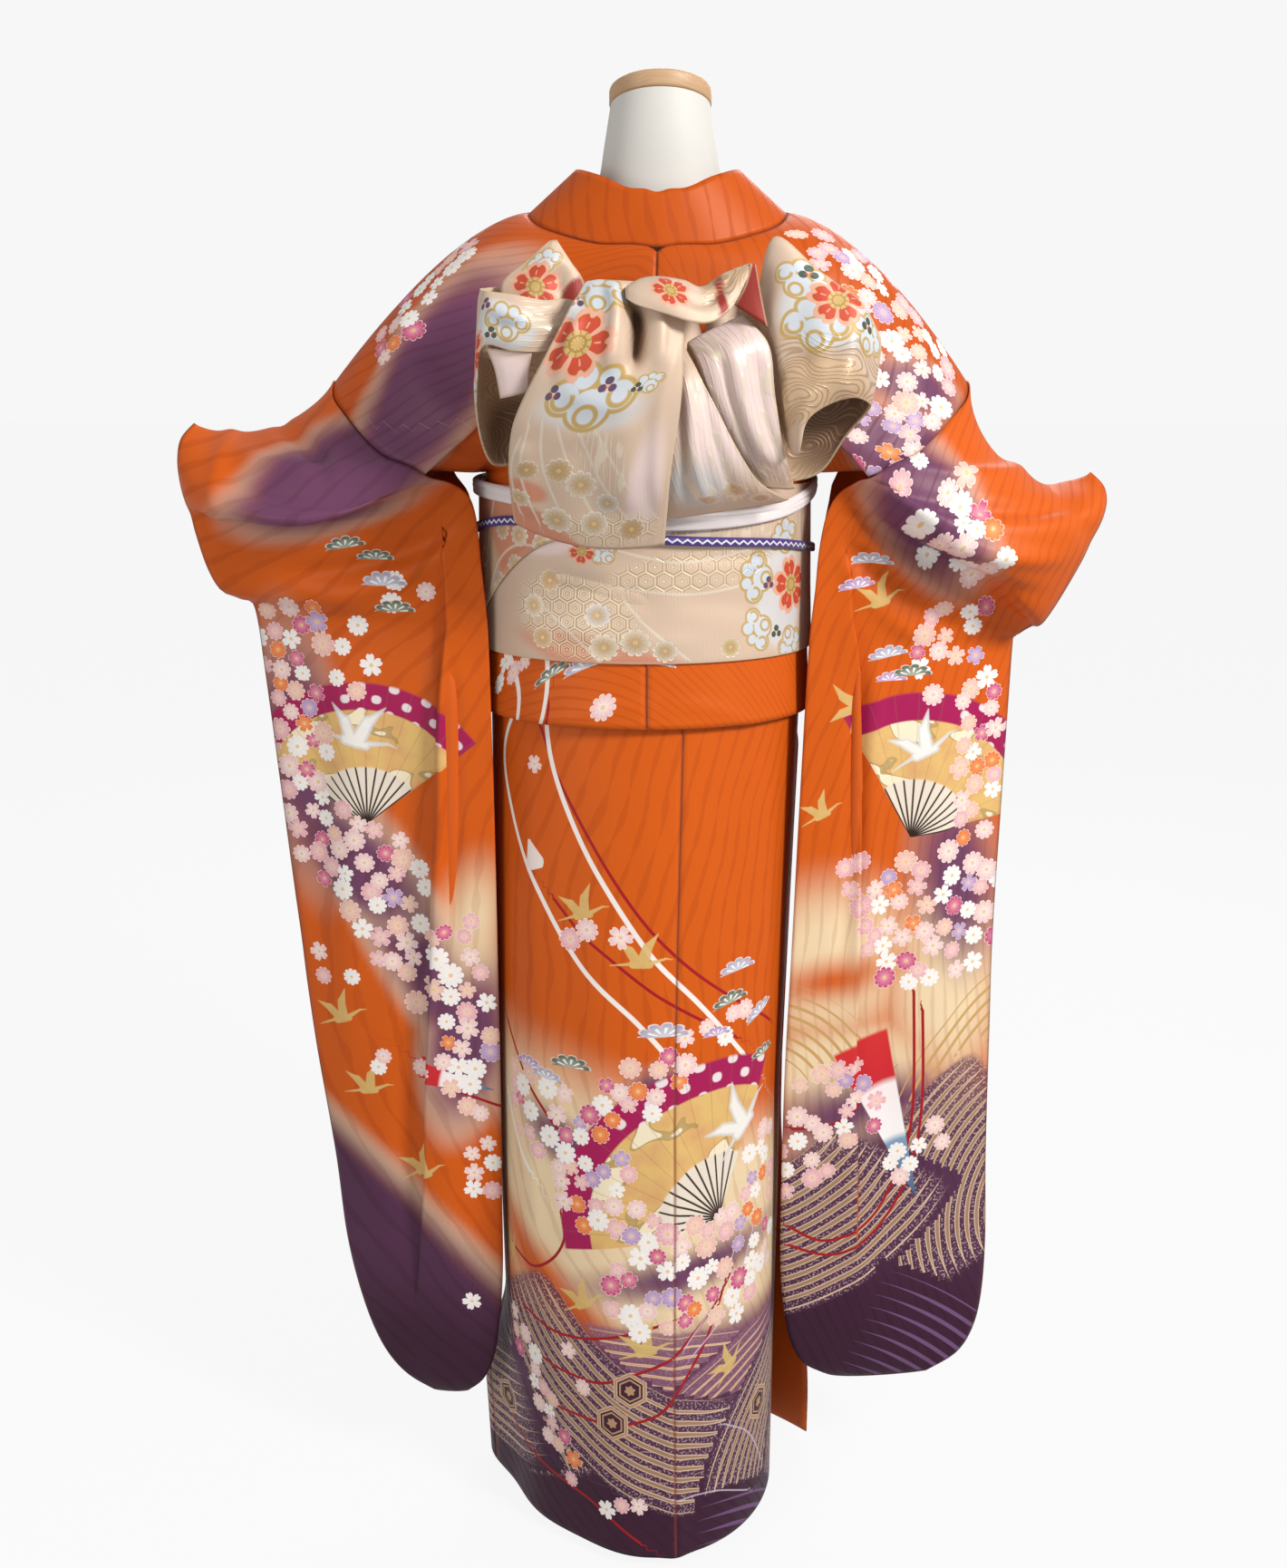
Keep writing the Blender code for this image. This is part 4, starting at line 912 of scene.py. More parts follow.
def fanLayer(finish, color):
    # Kinds: 1 an open fan with a gold leaf, 2 a folded fan, 3 a hexagon frame round a flower, 4 a tassel.
    x, y, code = finish.attribute("fans")
    kind = code.whole()
    rest = code - kind
    r = (x * x + y * y) ** 0.5
    turn = finish.turnOf(y, x)
    blade = (turn * (18 / math.pi)).fraction()
    inside = (rest * math.pi - abs(turn)).above(0.0, 0.012) * r.below(0.985, 0.02)
    inside = inside * kind.above(0.5, 0.1) * kind.below(2.5, 0.1)
    spoke = (abs(blade - 0.5) * r).below(0.035, 0.03)
    ribs = finish.mix(spoke, (0.78, 0.68, 0.56), (0.03, 0.015, 0.012))
    patches = finish.noise(finish.vector(x, y), 6.0).above(0.55, 0.3) * 0.6
    cloud = finish.noise(finish.vector(x + 3.0, y * 1.6), 3.2, 1.0)
    gold = finish.paint(
        (0.72, 0.46, 0.16),
        (patches, (0.62, 0.28, 0.14)),
        (cloud.above(0.60, 0.03), (0.86, 0.74, 0.52)),
        (cloud.near(0.60, 0.014) * 0.8, (0.40, 0.26, 0.08)),
    )
    lattice = ((r * 34).sine() * (turn * 26).sine()).above(0.55, 0.2) * turn.above(-0.1, 0.01)
    band = finish.mix(lattice * 0.85, (0.36, 0.010, 0.085), (0.88, 0.80, 0.80))
    paper = finish.paint(gold, (r.above(0.80, 0.01), band), (blade.near(0.5, 0.03) * 0.25, (0.2, 0.1, 0.05)))
    folded = finish.ramp(r, (
        (0.0, (0.05, 0.10, 0.18)), (0.36, (0.20, 0.32, 0.46)), (0.40, (0.88, 0.84, 0.82)),
        (0.68, (0.86, 0.76, 0.74)), (0.72, (0.56, 0.02, 0.03)), (1.0, (0.62, 0.03, 0.03)),
    ))
    fan = finish.paint(ribs, (r.above(0.40, 0.015), paper), (kind.above(1.5, 0.1), folded))
    six = abs(x).most(abs(x) * 0.5 + abs(y) * 0.866)
    bloom = (0.34 - abs((turn * (3 / math.pi) + 40.25).fraction() - 0.5) * 0.24 - r).above(0.0, 0.03)
    frame = six.near(0.86, 0.09).most(six.near(0.58, 0.05)).most(bloom)
    lines = six.near(0.955, 0.02).most(six.near(0.76, 0.02))
    plate = finish.paint((0.05, 0.016, 0.03), (frame, (0.46, 0.26, 0.15)), (lines, (0.70, 0.52, 0.36)))
    tassel = spindle(x, y, 0.0, -0.60, 0.0, 0.30, 0.10, 0.50).most(y - 0.70)
    threads = (x * 7).fraction().near(0.5, 0.12) * y.above(-0.1, 0.1) * 0.5
    white = rest.above(0.5, 0.1)
    dangle = finish.paint((0.42, 0.022, 0.015), (threads, (0.20, 0.01, 0.01)), (white, (0.84, 0.72, 0.66)))
    return finish.paint(
        color,
        (inside, fan),
        (six.below(0.975, 0.02) * kind.near(3.0, 0.4), plate),
        (tassel.below(0.0, 0.03) * kind.near(4.0, 0.4), dangle),
    )


birdBars = (  # from, to, half width at each end
    (-0.22, 0.0, 0.20, 0.02, 0.13, 0.10),  # body
    (0.15, 0.04, 0.62, 0.22, 0.075, 0.028),  # neck
    (0.60, 0.22, 0.80, 0.20, 0.03, 0.008),  # head
    (-0.25, 0.0, -0.85, -0.12, 0.05, 0.012),  # legs
    (0.02, 0.06, 0.10, 0.52, 0.17, 0.13),  # one wing and its tip
    (0.10, 0.50, 0.34, 0.92, 0.13, 0.01),
    (-0.10, 0.02, -0.36, 0.36, 0.14, 0.13),  # the other wing and its tip
    (-0.36, 0.36, -0.72, 0.60, 0.12, 0.01),
)


def birdLayer(finish, color):
    # A crane in flight, silver white or gold.
    x, y, code = finish.attribute("birds")
    shape = spindle(x, y, *birdBars[0])
    for bar in birdBars[1:]:
        shape = shape.least(spindle(x, y, *bar))
    mask = shape.below(0.0, 0.03) * code.above(0.5, 0.1)
    shine = finish.noise(finish.vector(x, y), 3.0) * 0.7
    plumage = finish.mix(shape.above(-0.05, 0.04) * 0.5, (0.86, 0.84, 0.80), (0.45, 0.44, 0.46))
    bird = finish.paint((0.74, 0.52, 0.20), (shine, (0.52, 0.32, 0.08)), (code.above(1.5, 0.1), plumage))
    return finish.mix(mask * 0.9, color, bird)


def waveLayer(finish, color):
    # Stripes with pale edges over a dark ground with gold specks; tones: 0 brown, 1 thin, 2 dark, 3 gold.
    phase, width, tone = finish.attribute("waves")
    u, v, _ = finish.attribute("flat")
    across = abs(phase.fraction() - 0.5) * 2
    reach = width * (1.05 - tone.above(0.5, 0.1) * 0.45)
    stripe = (reach - across).above(0.0, 0.10)
    edge = abs(reach - across - 0.12).below(0.08, 0.07) * stripe * tone.below(1.5, 0.1)
    specks = finish.noise(finish.vector(u, v), 420.0, 0.0).above(0.60, 0.04)
    ground = finish.paint(
        (0.085, 0.030, 0.070),
        (specks * 0.8, (0.50, 0.36, 0.34)),
        (tone.above(0.5, 0.1) * 0.7, (0.30, 0.13, 0.20)),
    )
    line = finish.paint(
        (0.34, 0.20, 0.13),
        (tone.above(0.5, 0.1), (0.56, 0.27, 0.14)),
        (edge * 0.9, (0.74, 0.54, 0.37)),
        (tone.above(1.5, 0.1), (0.16, 0.075, 0.18)),
        (tone.above(2.5, 0.1), (0.56, 0.33, 0.12)),
    )
    shown = width.above(0.05, 0.05) * 0.75 * tone.below(1.5, 0.1)
    return finish.paint(color, (shown, ground), (stripe * width.above(0.02, 0.02), line))


lineWidths = {"white": 0.0025, "red": 0.0016, "thin": 0.0009, "gold": 0.0011, "cream": 0.0013}  # half widths


def cordLayer(finish, color):
    # White and dark red cords, and thin lilac lines.
    white, red, thin = finish.attribute("cords")
    return finish.paint(
        color,
        (abs(red).below(lineWidths["red"], 0.0006), (0.34, 0.010, 0.016)),
        (abs(white).below(lineWidths["white"], 0.0007), (0.86, 0.78, 0.72)),
        (abs(thin).below(lineWidths["thin"], 0.0006) * 0.7, (0.62, 0.50, 0.62)),
    )


silkWeave = {"stripe": 0.0135, "seam": 0.0011}


def silkFinish(name):
    # Satin silk: the dyed colour with its painted shade, woven diagonal stripes whose darker colour is
    # painted shade standing for their sheen, then the print and the seams.
    finish = Finish(name, {
        "Roughness": 0.4, "Sheen Weight": 0.02, "Sheen Roughness": 0.4, "Specular IOR Level": 0.26,
        "Specular Tint": (1.0, 0.75, 0.6, 1), "Anisotropic": 0.2,
    })
    u, v, seam = finish.attribute("flat")
    wander = finish.noise(finish.vector(u, v), 7.0, 1.0)
    stripe = (u * 0.72 + v * 0.69 + (u * u - v * v) * 0.55 + wander * 0.030) * (1 / silkWeave["stripe"])
    thick = finish.noise(finish.vector(u, v), 30.0, 1.0) * 0.42 - 0.09
    figure = (thick - abs(stripe.fraction() - 0.5)).above(0.0, 0.07)
    # The woven stripes are real, and their roughness and bump are their own; their darker colour is painted
    # shade standing for their sheen.
    color = finish.mix(figure * 0.30, finish.colorOf("dye"), (0.62, 0.46, 0.42), "MULTIPLY")
    for layer in (waveLayer, cordLayer, fanLayer, birdLayer):
        color = layer(finish, color)
    cover = 0.0
    for name in flowerLayers:
        color, mask = flowerLayer(finish, name, color, heartColors, petalColors)
        cover = mask.most(cover)
    joint = seam.below(silkWeave["seam"], 0.0008)
    finish.feed("Base Color", finish.mix(joint * 0.55, color, (0.30, 0.07, 0.04)))
    grain = finish.noise(finish.objectPlace(), 900.0, 1.0)
    finish.feed("Roughness", 0.40 + figure * 0.10 + cover * 0.10 + grain * 0.05)
    finish.bump(grain * 0.3 - figure * 0.35 + cover * 0.35 - joint * 1.2, 0.25, 0.0004)
    return finish


silk = silkFinish("figured_silk")

# Brocade: champagne ground with woven hexagons, streaks, watered lines and crests

goldHearts = shades(*[(0.50, 0.30, 0.12)] * 10)
goldPetals = shades(
    (0.74, 0.62, 0.46), (0.68, 0.50, 0.30), (0.62, 0.44, 0.26), (0.72, 0.52, 0.38), (0.60, 0.30, 0.16),
    (0.56, 0.46, 0.42), (0.66, 0.60, 0.54), (0.70, 0.56, 0.30), (0.60, 0.44, 0.20), (0.66, 0.50, 0.30),
)
cloudDiscs = (  # x, y, radius
    (0, -0.08, 0.46), (0.50, 0.16, 0.36), (-0.50, 0.16, 0.36), (0.20, 0.52, 0.30), (-0.24, 0.50, 0.26),
)
curlDiscs = ((0.52, 0.14, 0.19), (-0.52, 0.14, 0.19), (0.02, -0.22, 0.20))
leafDiscs = ((0.0, 0.48, 0.40), (0.45, -0.22, 0.38), (-0.45, -0.22, 0.38))


def hexLattice(u, v, size):
    # Distance from the middle of the hexagon a place lies in, in cells, from two staggered lattices.
    tall = 3 ** 0.5
    across, up = u * (1 / size), v * (1 / size / tall)
    ax, ay = across.fraction() - 0.5, (up.fraction() - 0.5) * tall
    bx, by = (across + 0.5).fraction() - 0.5, ((up + 0.5).fraction() - 0.5) * tall
    second = ((ax * ax + ay * ay) - (bx * bx + by * by)).above(0.0, 0.001)
    x, y = abs(ax + (bx - ax) * second), abs(ay + (by - ay) * second)
    return x.most(x * 0.5 + y * (tall / 2))


def roundUnion(x, y, discs):
    # Distance from the outline of joined discs, negative inside.
    shape = None
    for cx, cy, radius in discs:
        away = ((x - cx) * (x - cx) + (y - cy) * (y - cy)) ** 0.5 - radius
        shape = away if shape is None else shape.least(away)
    return shape


def crestLayer(finish, name, color):
    # Kinds: 1 a red flower with a gold heart, 2 a silver cloud with gold curls, 3 a dark trefoil.
    x, y, code = finish.attribute(name)
    kind = code.whole()
    cloud = roundUnion(x, y, cloudDiscs)
    curls = abs(roundUnion(x, y, curlDiscs)).below(0.045, 0.03) * y.below(0.22, 0.05)
    silver = finish.mix(curls.most(cloud.above(-0.085, 0.03)), (0.60, 0.64, 0.68), (0.52, 0.34, 0.11))
    leaf = roundUnion(x, y, leafDiscs)
    berry = roundUnion(x, y, ((0.0, -0.10, 0.26),)).below(0.0, 0.05)
    green = (code - kind).above(0.5, 0.1)
    trefoil = finish.paint((0.10, 0.055, 0.12), (green, (0.035, 0.075, 0.05)), (berry, (0.50, 0.05, 0.03)))
    r = (x * x + y * y) ** 0.5
    c = abs((finish.turnOf(x, y) * (2.5 / math.pi) + 40.25).fraction() - 0.5) * 2
    depth = 0.98 - (c ** 3) * 0.34 - c.below(0.14, 0.12) * 0.10 - r
    petal = finish.paint(
        (0.56, 0.055, 0.018),
        (c.below(0.07, 0.06) * r.near(0.50, 0.09), (0.74, 0.34, 0.24)),
        (depth.below(0.15, 0.03).most(c.above(0.80, 0.05)), (0.76, 0.38, 0.28)),
        (depth.near(0.155, 0.022), (0.62, 0.40, 0.20)),
        (r.below(0.34, 0.03), (0.58, 0.40, 0.14)),
        (r.near(0.20, 0.03).most(c.near(0.5, 0.12) * r.below(0.34, 0.01)), (0.40, 0.22, 0.05)),
    )
    return finish.paint(
        color,
        (cloud.below(0.0, 0.03) * kind.near(2.0, 0.4), silver),
        (leaf.below(0.0, 0.04) * kind.near(3.0, 0.4), trefoil),
        (depth.above(0.0, 0.03) * kind.near(1.0, 0.4), petal),
    )


brocadeWeave = {"hexagon": 0.0155, "streak": 0.0052, "rib": 0.0011, "edging": 0.0022}


def brocadeFinish(name):
    finish = Finish(name, {"Roughness": 0.4, "Specular IOR Level": 0.4, "Sheen Weight": 0.05})
    u, v, edge = finish.attribute("flat")
    hexes, streaks, watered = finish.attribute("weave")
    cell = hexLattice(u, v, brocadeWeave["hexagon"])
    comb = cell.above(0.455, 0.03).most(cell.near(0.33, 0.028)).most(cell.near(0.20, 0.022))
    comb = comb.most(cell.below(0.06, 0.03)) * hexes
    cloudy = finish.noise(finish.vector(u, v * 0.30), 85.0, 1.0).above(0.57, 0.05)
    wander = finish.noise(finish.vector(u, v * 0.5), 16.0, 1.0) * 0.020
    lines = (u + wander) * (1 / brocadeWeave["streak"])
    streak = (abs(lines.fraction() - 0.5).below(0.10, 0.08) * 0.7).most(cloudy) * streaks
    knotty = finish.noise(finish.vector(u, v * 0.55), 20.0, 1.0) * 30
    grainLine = abs(knotty.fraction() - 0.5).below(0.15, 0.12) * watered
    figure = comb.most(streak).most(grainLine)
    gold, cream, _ = finish.attribute("cords")
    color = finish.paint(
        finish.colorOf("dye"),
        (comb * 0.85, (0.86, 0.70, 0.48)),
        (streak * 0.75, (0.86, 0.73, 0.57)),
        (grainLine * 0.50, (0.40, 0.25, 0.13)),
        (cell.near(0.40, 0.028) * hexes * 0.60, (0.36, 0.20, 0.09)),
        (abs(cream).below(lineWidths["cream"], 0.0007) * 0.75, (0.74, 0.64, 0.52)),
    )
    for name in flowerLayers:
        color, mask = flowerLayer(finish, name, color, goldHearts, goldPetals)
        figure = figure.most(mask)
    color = finish.mix(abs(gold).below(lineWidths["gold"], 0.0006) * 0.8, color, (0.50, 0.32, 0.10))
    for name in crestLayers:
        color = crestLayer(finish, name, color)
    rib = abs((u * (1 / brocadeWeave["rib"])).fraction() - 0.5) * 2
    edging = edge.below(brocadeWeave["edging"], 0.001) * 0.5
    color = finish.paint(color, (edging, (0.66, 0.50, 0.32)), (rib * 0.10, (0.35, 0.24, 0.14)))
    finish.feed("Base Color", color)
    finish.feed("Metallic", 0.10 + figure * 0.25)
    finish.feed("Roughness", 0.46 - figure * 0.10)
    finish.bump(figure * 0.9 + rib * 0.25, 0.60, 0.0006)
    return finish


brocade = brocadeFinish("gold_brocade_weave")
plainSilk = Finish("orange_lining", {
    "Base Color": (*dyesAndShades["orange"], 1), "Roughness": 0.45, "Specular IOR Level": 0.26,
})
plainSilk.bump(plainSilk.noise(plainSilk.objectPlace(), 900.0, 1.0), 0.1, 0.0004)
silkCloth = {
    "finish": silk,
    "slot": "orange_silk",
    "ground": "orange",
    "lining": plainSilk,
    "lines": ("whiteCords", "redCords", "thinLines"),
}
sashCloth = {
    "finish": brocade,
    "slot": "gold_brocade",
    "ground": "champagne",
    "lining": None,
    "lines": ("goldLines", "creamLines", "thinLines"),
}
designParts = (
    "dyesAndShades", "flowers", "placed", "fans", "birds", "waves", "crests", "hexes", "streaks", "watered",
    "whiteCords", "redCords", "thinLines", "goldLines", "creamLines", "creases",
)
plainDesign = {"seed": 1, **dict.fromkeys(designParts, ())}


def clothPiece(node, cloth, points, normals, quads, flat, seam, design, thickness):
    # A width of cloth on its solid's form, moved out by its creases, with a wall behind it.
    design = {**plainDesign, **design}
    cut = flat * perMetre
    moved = points + normals * creaseHeight(cut, design["creases"])
    corner = cut.reshape(-1, 2)[quads]
    flowers = scatter(design["seed"], design["flowers"]) + list(design["placed"])
    cornerValues = dict(zip(flowerLayers, motifLayers(corner, flowers)))
    if cloth is silkCloth:
        for key in ("fans", "birds"):
            cornerValues[key] = motifLayers(corner, design[key], 1)[0]
        cornerValues["waves"] = waveField(corner, design["waves"])
    else:
        cornerValues.update(zip(crestLayers, motifLayers(corner, design["crests"])))
    cornerValues["cords"] = np.stack([lineField(corner, design[key]) for key in cloth["lines"]], axis=-1)
    weave = [blobs(cut, design[key]) for key in ("hexes", "streaks", "watered")]
    name = node + "_cloth"
    mesh = makeMesh(name, moved, quads, {
        "dye": dyeAndShadeCloth(cut, design["dyesAndShades"], cloth["ground"]),
        "flat": np.concatenate([flat, np.broadcast_to(seam, flat.shape[:-1])[..., None]], axis=-1),
        "weave": np.stack(weave, axis=-1),
    }, cornerValues)
    piece = addPiece(name, mesh, cloth["finish"], [node])
    if thickness:
        giveWall(piece, thickness, lining=cloth["lining"])
    return piece


def pine(u, v, size, lean, shade):
    return (u, v, size, math.radians(lean), motifKinds["pine"] + tint[shade])


def fan(u, v, size, lean, half, kind=1):
    # Half is the half angle in degrees; on a tassel, less than 90 makes it red and more makes it white.
    return (u, v, size, math.radians(lean), kind + half / 180)


def bird(u, v, size, lean, white=False):
    return (u, v, size, math.radians(lean), 2.0 if white else 1.0)


skirtDesign = {
    "seed": 5,
    "dyesAndShades": (
        ("cream", (
            (-100, 400, 260, 135, -24, 100), (80, 360, 170, 115, -6, 90), (450, 400, 240, 100, 10, 100),
            (-450, 420, 240, 120, 6, 100),
        ), 0),
        ("orange", ((-135, 300, 120, 26, -38, 40),), 0),
        ("midPurple", (
            (-115, 470, 50, 22, -30, 30), (20, 335, 100, 20, 10, 30), (-20, 535, 30, 20, 30, 30),
        ), 0.3),
        ("midPurple", ((0, 40, 1500, 225, 0, 50),), 0),
        ("purple", ((0, 0, 1500, 215, 0, 100),), 0),
        ("darkPurple", ((0, -50, 1500, 160, 0, 100),), 0),
    ),
    "flowers": (
        (-120, 475, 95, 45, -38, 90, 8.5, 12.5, softMix), (-35, 535, 65, 36, 25, 44, 8.5, 12.5, softMix),
        (40, 600, 50, 22, 20, 10, 8.5, 10.5, paleMix), (-75, 395, 60, 30, -10, 30, 8.5, 12, softMix),
        (35, 325, 110, 65, 6, 150, 8.5, 13, softMix), (115, 420, 60, 28, 85, 30, 8.5, 12, softMix),
        (-165, 170, 110, 20, 118, 36, 8.5, 11.5, softMix), (-115, 225, 50, 12, -60, 4, 8.5, 11.5, paleMix),
        (-45, 75, 55, 18, 20, 4, 8.5, 11.5, paleMix), (-70, 700, 90, 30, 60, 4, 10, 12.5, paleMix),
        (-150, 860, 3, 3, 0, 1, 9, 9.5, paleMix), (270, 400, 140, 60, 60, 90, 8.5, 12.5, softMix),
        (440, 360, 120, 60, 0, 70, 8.5, 12.5, softMix), (-330, 370, 120, 60, 40, 80, 8.5, 12.5, softMix),
        (-480, 460, 120, 60, 20, 70, 8.5, 12.5, softMix), (-640, 360, 120, 60, -20, 70, 8.5, 12.5, softMix),
    ),
    "placed": (
        pine(-160, 548, 21, 0, "mauve"), pine(-135, 540, 21, -8, "grey"), pine(-108, 558, 25, 0, "green"),
        pine(-12, 598, 28, 0, "grey"), pine(60, 622, 24, 12, "green"), pine(68, 655, 24, 8, "grey"),
        pine(100, 602, 22, 30, "grey"), pine(110, 555, 20, 10, "green"), pine(45, 590, 18, 0, "mauve"),
        pine(300, 620, 26, 0, "grey"), pine(340, 600, 22, 0, "green"), pine(-400, 630, 26, 0, "grey"),
        pine(-430, 610, 22, 0, "green"),
    ),
    "fans": (
        fan(52, 388, 175, 40, 62), fan(-470, 320, 150, -25, 66), fan(360, 440, 140, 20, 60),
        fan(-300, 240, 120, 150, 9, 2), fan(-67, 165, 18.5, 0, 30, 3), fan(-46, 206, 18.5, 0, 30, 3),
        fan(-238, 120, 18, 0, 30, 3), fan(121, 145, 18.5, 0, 30, 3), fan(-121, 402, 26, 170, 30, 4),
        fan(-150, 770, 22, 200, 120, 4),
    ),
    "birds": (
        bird(-92, 715, 34, 10), bird(-34, 668, 36, -5), bird(22, 672, 36, 8), bird(-205, 318, 28, 60),
        bird(-96, 294, 34, 20), bird(-28, 250, 36, 10), bird(-24, 205, 32, 30), bird(70, 215, 32, 40),
        bird(-175, 290, 26, 100), bird(85, 480, 55, 40, True), bird(-10, 460, 55, -25, True),
        bird(-500, 400, 55, 20, True), bird(-380, 730, 34, 0), bird(-550, 620, 34, 20),
        bird(300, 720, 34, -10), bird(250, 220, 34, 30),
    ),
    "waves": (
        (-60, -220, 390, 500, 58, 104, 11, 1), (200, -100, 270, 370, 96, 142, 11, 1),
        (-280, 20, 75, 250, 20, 84, 12.5, 0), (120, 480, 300, 440, 208, 268, 12.5, 0),
        (235, 30, 50, 215, 88, 178, 11, 0), (-300, 380, 200, 340, 200, 300, 12.5, 0),
        (520, -50, 80, 400, 80, 176, 11.5, 0), (-660, -50, 60, 340, 20, 130, 11.5, 0),
        (20, -140, 120, 220, 20, 90, 15, 2),
    ),
    "whiteCords": (
        ((-165, 930), (-200, 870), (-185, 808), (-146, 738), (-96, 663), (-39, 608), (-6, 569)),
        ((-135, 930), (-128, 870), (-101, 800), (-67, 740), (-23, 674), (23, 624), (81, 558)),
        ((-205, 500), (-185, 460), (-160, 430)),
    ),
    "redCords": (
        ((-140, 900), (-118, 848), (-79, 780), (-39, 719), (0, 674), (46, 635), (121, 585)),
        ((-124, 727), (-96, 697), (-67, 674), (-11, 630), (69, 580)),
        ((-202, 580), (-168, 535), (-135, 496), (-124, 485)),
        ((-121, 390), (-118, 363), (-135, 335), (-165, 318), (-205, 325)),
        ((-185, 262), (-124, 252), (-70, 262), (-5, 284)),
        ((-160, 215), (-90, 207), (-39, 225), (0, 246), (46, 291), (70, 325)),
        ((-150, 165), (-79, 162), (-23, 176), (0, 200), (35, 252), (62, 318)),
        ((-236, 102), (-163, 80), (-96, 63), (-39, 30)),
    ),
    "thinLines": (
        ((0, 80), (50, 75), (100, 50)), ((60, 150), (100, 120), (130, 70)),
        ((10, 250), (50, 300), (80, 360)), ((20, 240), (70, 290), (100, 360)),
    ),
    "creases": (
        (0, 600, 0, -250, 0, 13, 4.5), (-160, 900, -170, 250, 10, 16, 2.2),
        (-100, 880, -90, 300, -8, 20, -1.8), (-30, 860, -10, 100, 4, 14, 1.6),
        (50, 880, 60, 250, 10, 22, -2), (110, 900, 120, 120, -6, 16, 2.2),
        (-200, 600, -120, 20, 10, 18, 2.2), (200, 880, 240, 100, 10, 22, 2.4),
        (330, 800, 300, 50, 14, 20, -2.2), (-320, 860, -280, 80, 10, 20, 2.4),
        (-460, 850, -500, 100, 12, 22, -2.2), (-600, 800, -580, 60, 10, 18, 2.2),
    ),
}


def makeSkirt():
    gap = math.degrees(skirt["gap"] / 2 / skirt["gapRadius"])
    rows = int((skirt["top"] - skirt["hem"]) / skirt["spacing"])
    z = np.linspace(skirt["top"], skirt["hem"], rows)[:, None]
    for name, start, end in skirtPanels:
        count = max(4, int(math.radians(start - end) * skirt["radius"] / skirt["spacing"]))
        turns = np.linspace(start - gap, end + gap, count)
        step = turns[1] - turns[0]
        turns = np.concatenate([[turns[0] - step], turns, [turns[-1] + step]])[None, :]
        wide = roundPoint(turns, z, skirtOut(turns, z))
        normals = pointNormals(wide, gridQuads(*wide.shape[:2]))[:, 1:-1]
        points = wide[:, 1:-1]
        flat = skirtFlat(turns[:, 1:-1], z)
        quads = gridQuads(*points.shape[:2])
        seam = np.minimum(flat[..., 0] - flat[:, -1:, 0], flat[:, :1, 0] - flat[..., 0])
        piece = clothPiece(name, silkCloth, points, normals, quads, flat, seam, skirtDesign, skirt["cloth"])
    print("skirt")


makeSkirt()

bodyDesign = {
    "seed": 8,
    "dyesAndShades": (
        # painted shade: the upper body and shoulders darker
        ("deepOrange", ((0, -100, 400, 220, 0, 160),), 0),
        ("midPurple", ((-205, -125, 140, 50, 11, 40),), 0.75),
        ("midPurple", ((262, -145, 55, 45, 60, 40), (215, -90, 45, 25, 50, 30)), 0.45),
    ),
    "flowers": (
        (-75, -30, 55, 22, 30, 22, 8, 11.5, softMix), (-130, -40, 55, 26, 40, 36, 8, 12, softMix),
        (-180, -55, 35, 18, 60, 14, 8, 11.5, softMix), (60, -70, 45, 25, -10, 20, 8, 12, softMix),
        (125, -55, 65, 45, -40, 70, 8.5, 12.5, softMix), (195, -85, 80, 55, -60, 110, 8.5, 13, softMix),
        (255, -135, 70, 40, -80, 60, 8.5, 13, softMix), (-39, -596, 3, 3, 0, 1, 12, 12.5, paleMix),
        (-140, -500, 35, 20, 0, 10, 8.5, 11.5, paleMix),
    ),
    "placed": (
        pine(-95, -540, 22, 0, "green"), pine(-58, -548, 26, 0, "grey"), pine(15, -560, 14, 0, "grey"),
    ),
    "whiteCords": (
        ((-150, -480), (-135, -540), (-152, -600), (-165, -630)),
        ((-101, -500), (-101, -560), (-128, -640)),
    ),
    "redCords": (((-98, -570), (-108, -630)),),
    "creases": (
        (20, -600, 160, -580, 4, 6, 1.4), (-140, -580, 20, -605, -4, 7, 1.4),
        (30, -635, 190, -610, 4, 7, 1.6), (-160, -635, 30, -645, 2, 6, 1.4),
        (-240, -200, -130, -20, 12, 14, 3), (-270, -170, -190, -30, 10, 12, -2.6),
        (290, -200, 150, -20, -12, 14, 3), (260, -180, 100, -30, -8, 12, -2.4),
        (285, -165, 220, -30, -10, 10, 2.6), (-100, -160, -60, -40, 4, 16, 1.8),
        (100, -160, 60, -40, -4, 16, 1.8),
    ),
}
collarDesign = {
    # painted shade: the whole collar darker
    "dyesAndShades": (("deepOrange", ((0, 520, 800, 200, 0, 100),), 0),),
}


def makeBody():
    rows = bodySteps()
    for name, side in (("body_left", -1), ("body_right", 1)):
        points, normals = bodyGrid(side, rows)
        points[rows <= body["collarStart"], 0, 0] += side * skirt["gap"] / 2
        u, v = arcLengths(points)
        ridge = np.argmin(abs(rows - body["ridge"]))
        flat = np.stack([side * u, -abs(v - v[ridge])], axis=-1)
        quads = gridQuads(*points.shape[:2], flip=side < 0)
        seam = np.minimum(u, u[:, -1:] - u)
        piece = clothPiece(name, silkCloth, points, normals, quads, flat, seam, bodyDesign, skirt["cloth"])
    left, right = (collarHalf(side, rows) for side in (-1, 1))
    middle = (left[0] + right[0]) / 2
    points = np.concatenate([left[:0:-1], middle[None], right[1:]])
    rowsOff = np.arange(len(points)) - len(left) + 1
    soften = 0.25 * np.exp(-((rowsOff / collar["softRows"]) ** 2))[1:-1, None, None]
    for _ in range(collar["softenings"]):
        points[1:-1] += soften * (points[2:] - 2 * points[1:-1] + points[:-2])
    quads = gridQuads(*points.shape[:2], flip=True)
    normals = pointNormals(points, quads)
    u, v = arcLengths(points)
    flat = np.stack([v - v[len(left) - 1], u + 0.5], axis=-1)
    piece = clothPiece("collar", silkCloth, points, normals, quads, flat, u, collarDesign, collar["cloth"])
    print("body and collar")


makeBody()

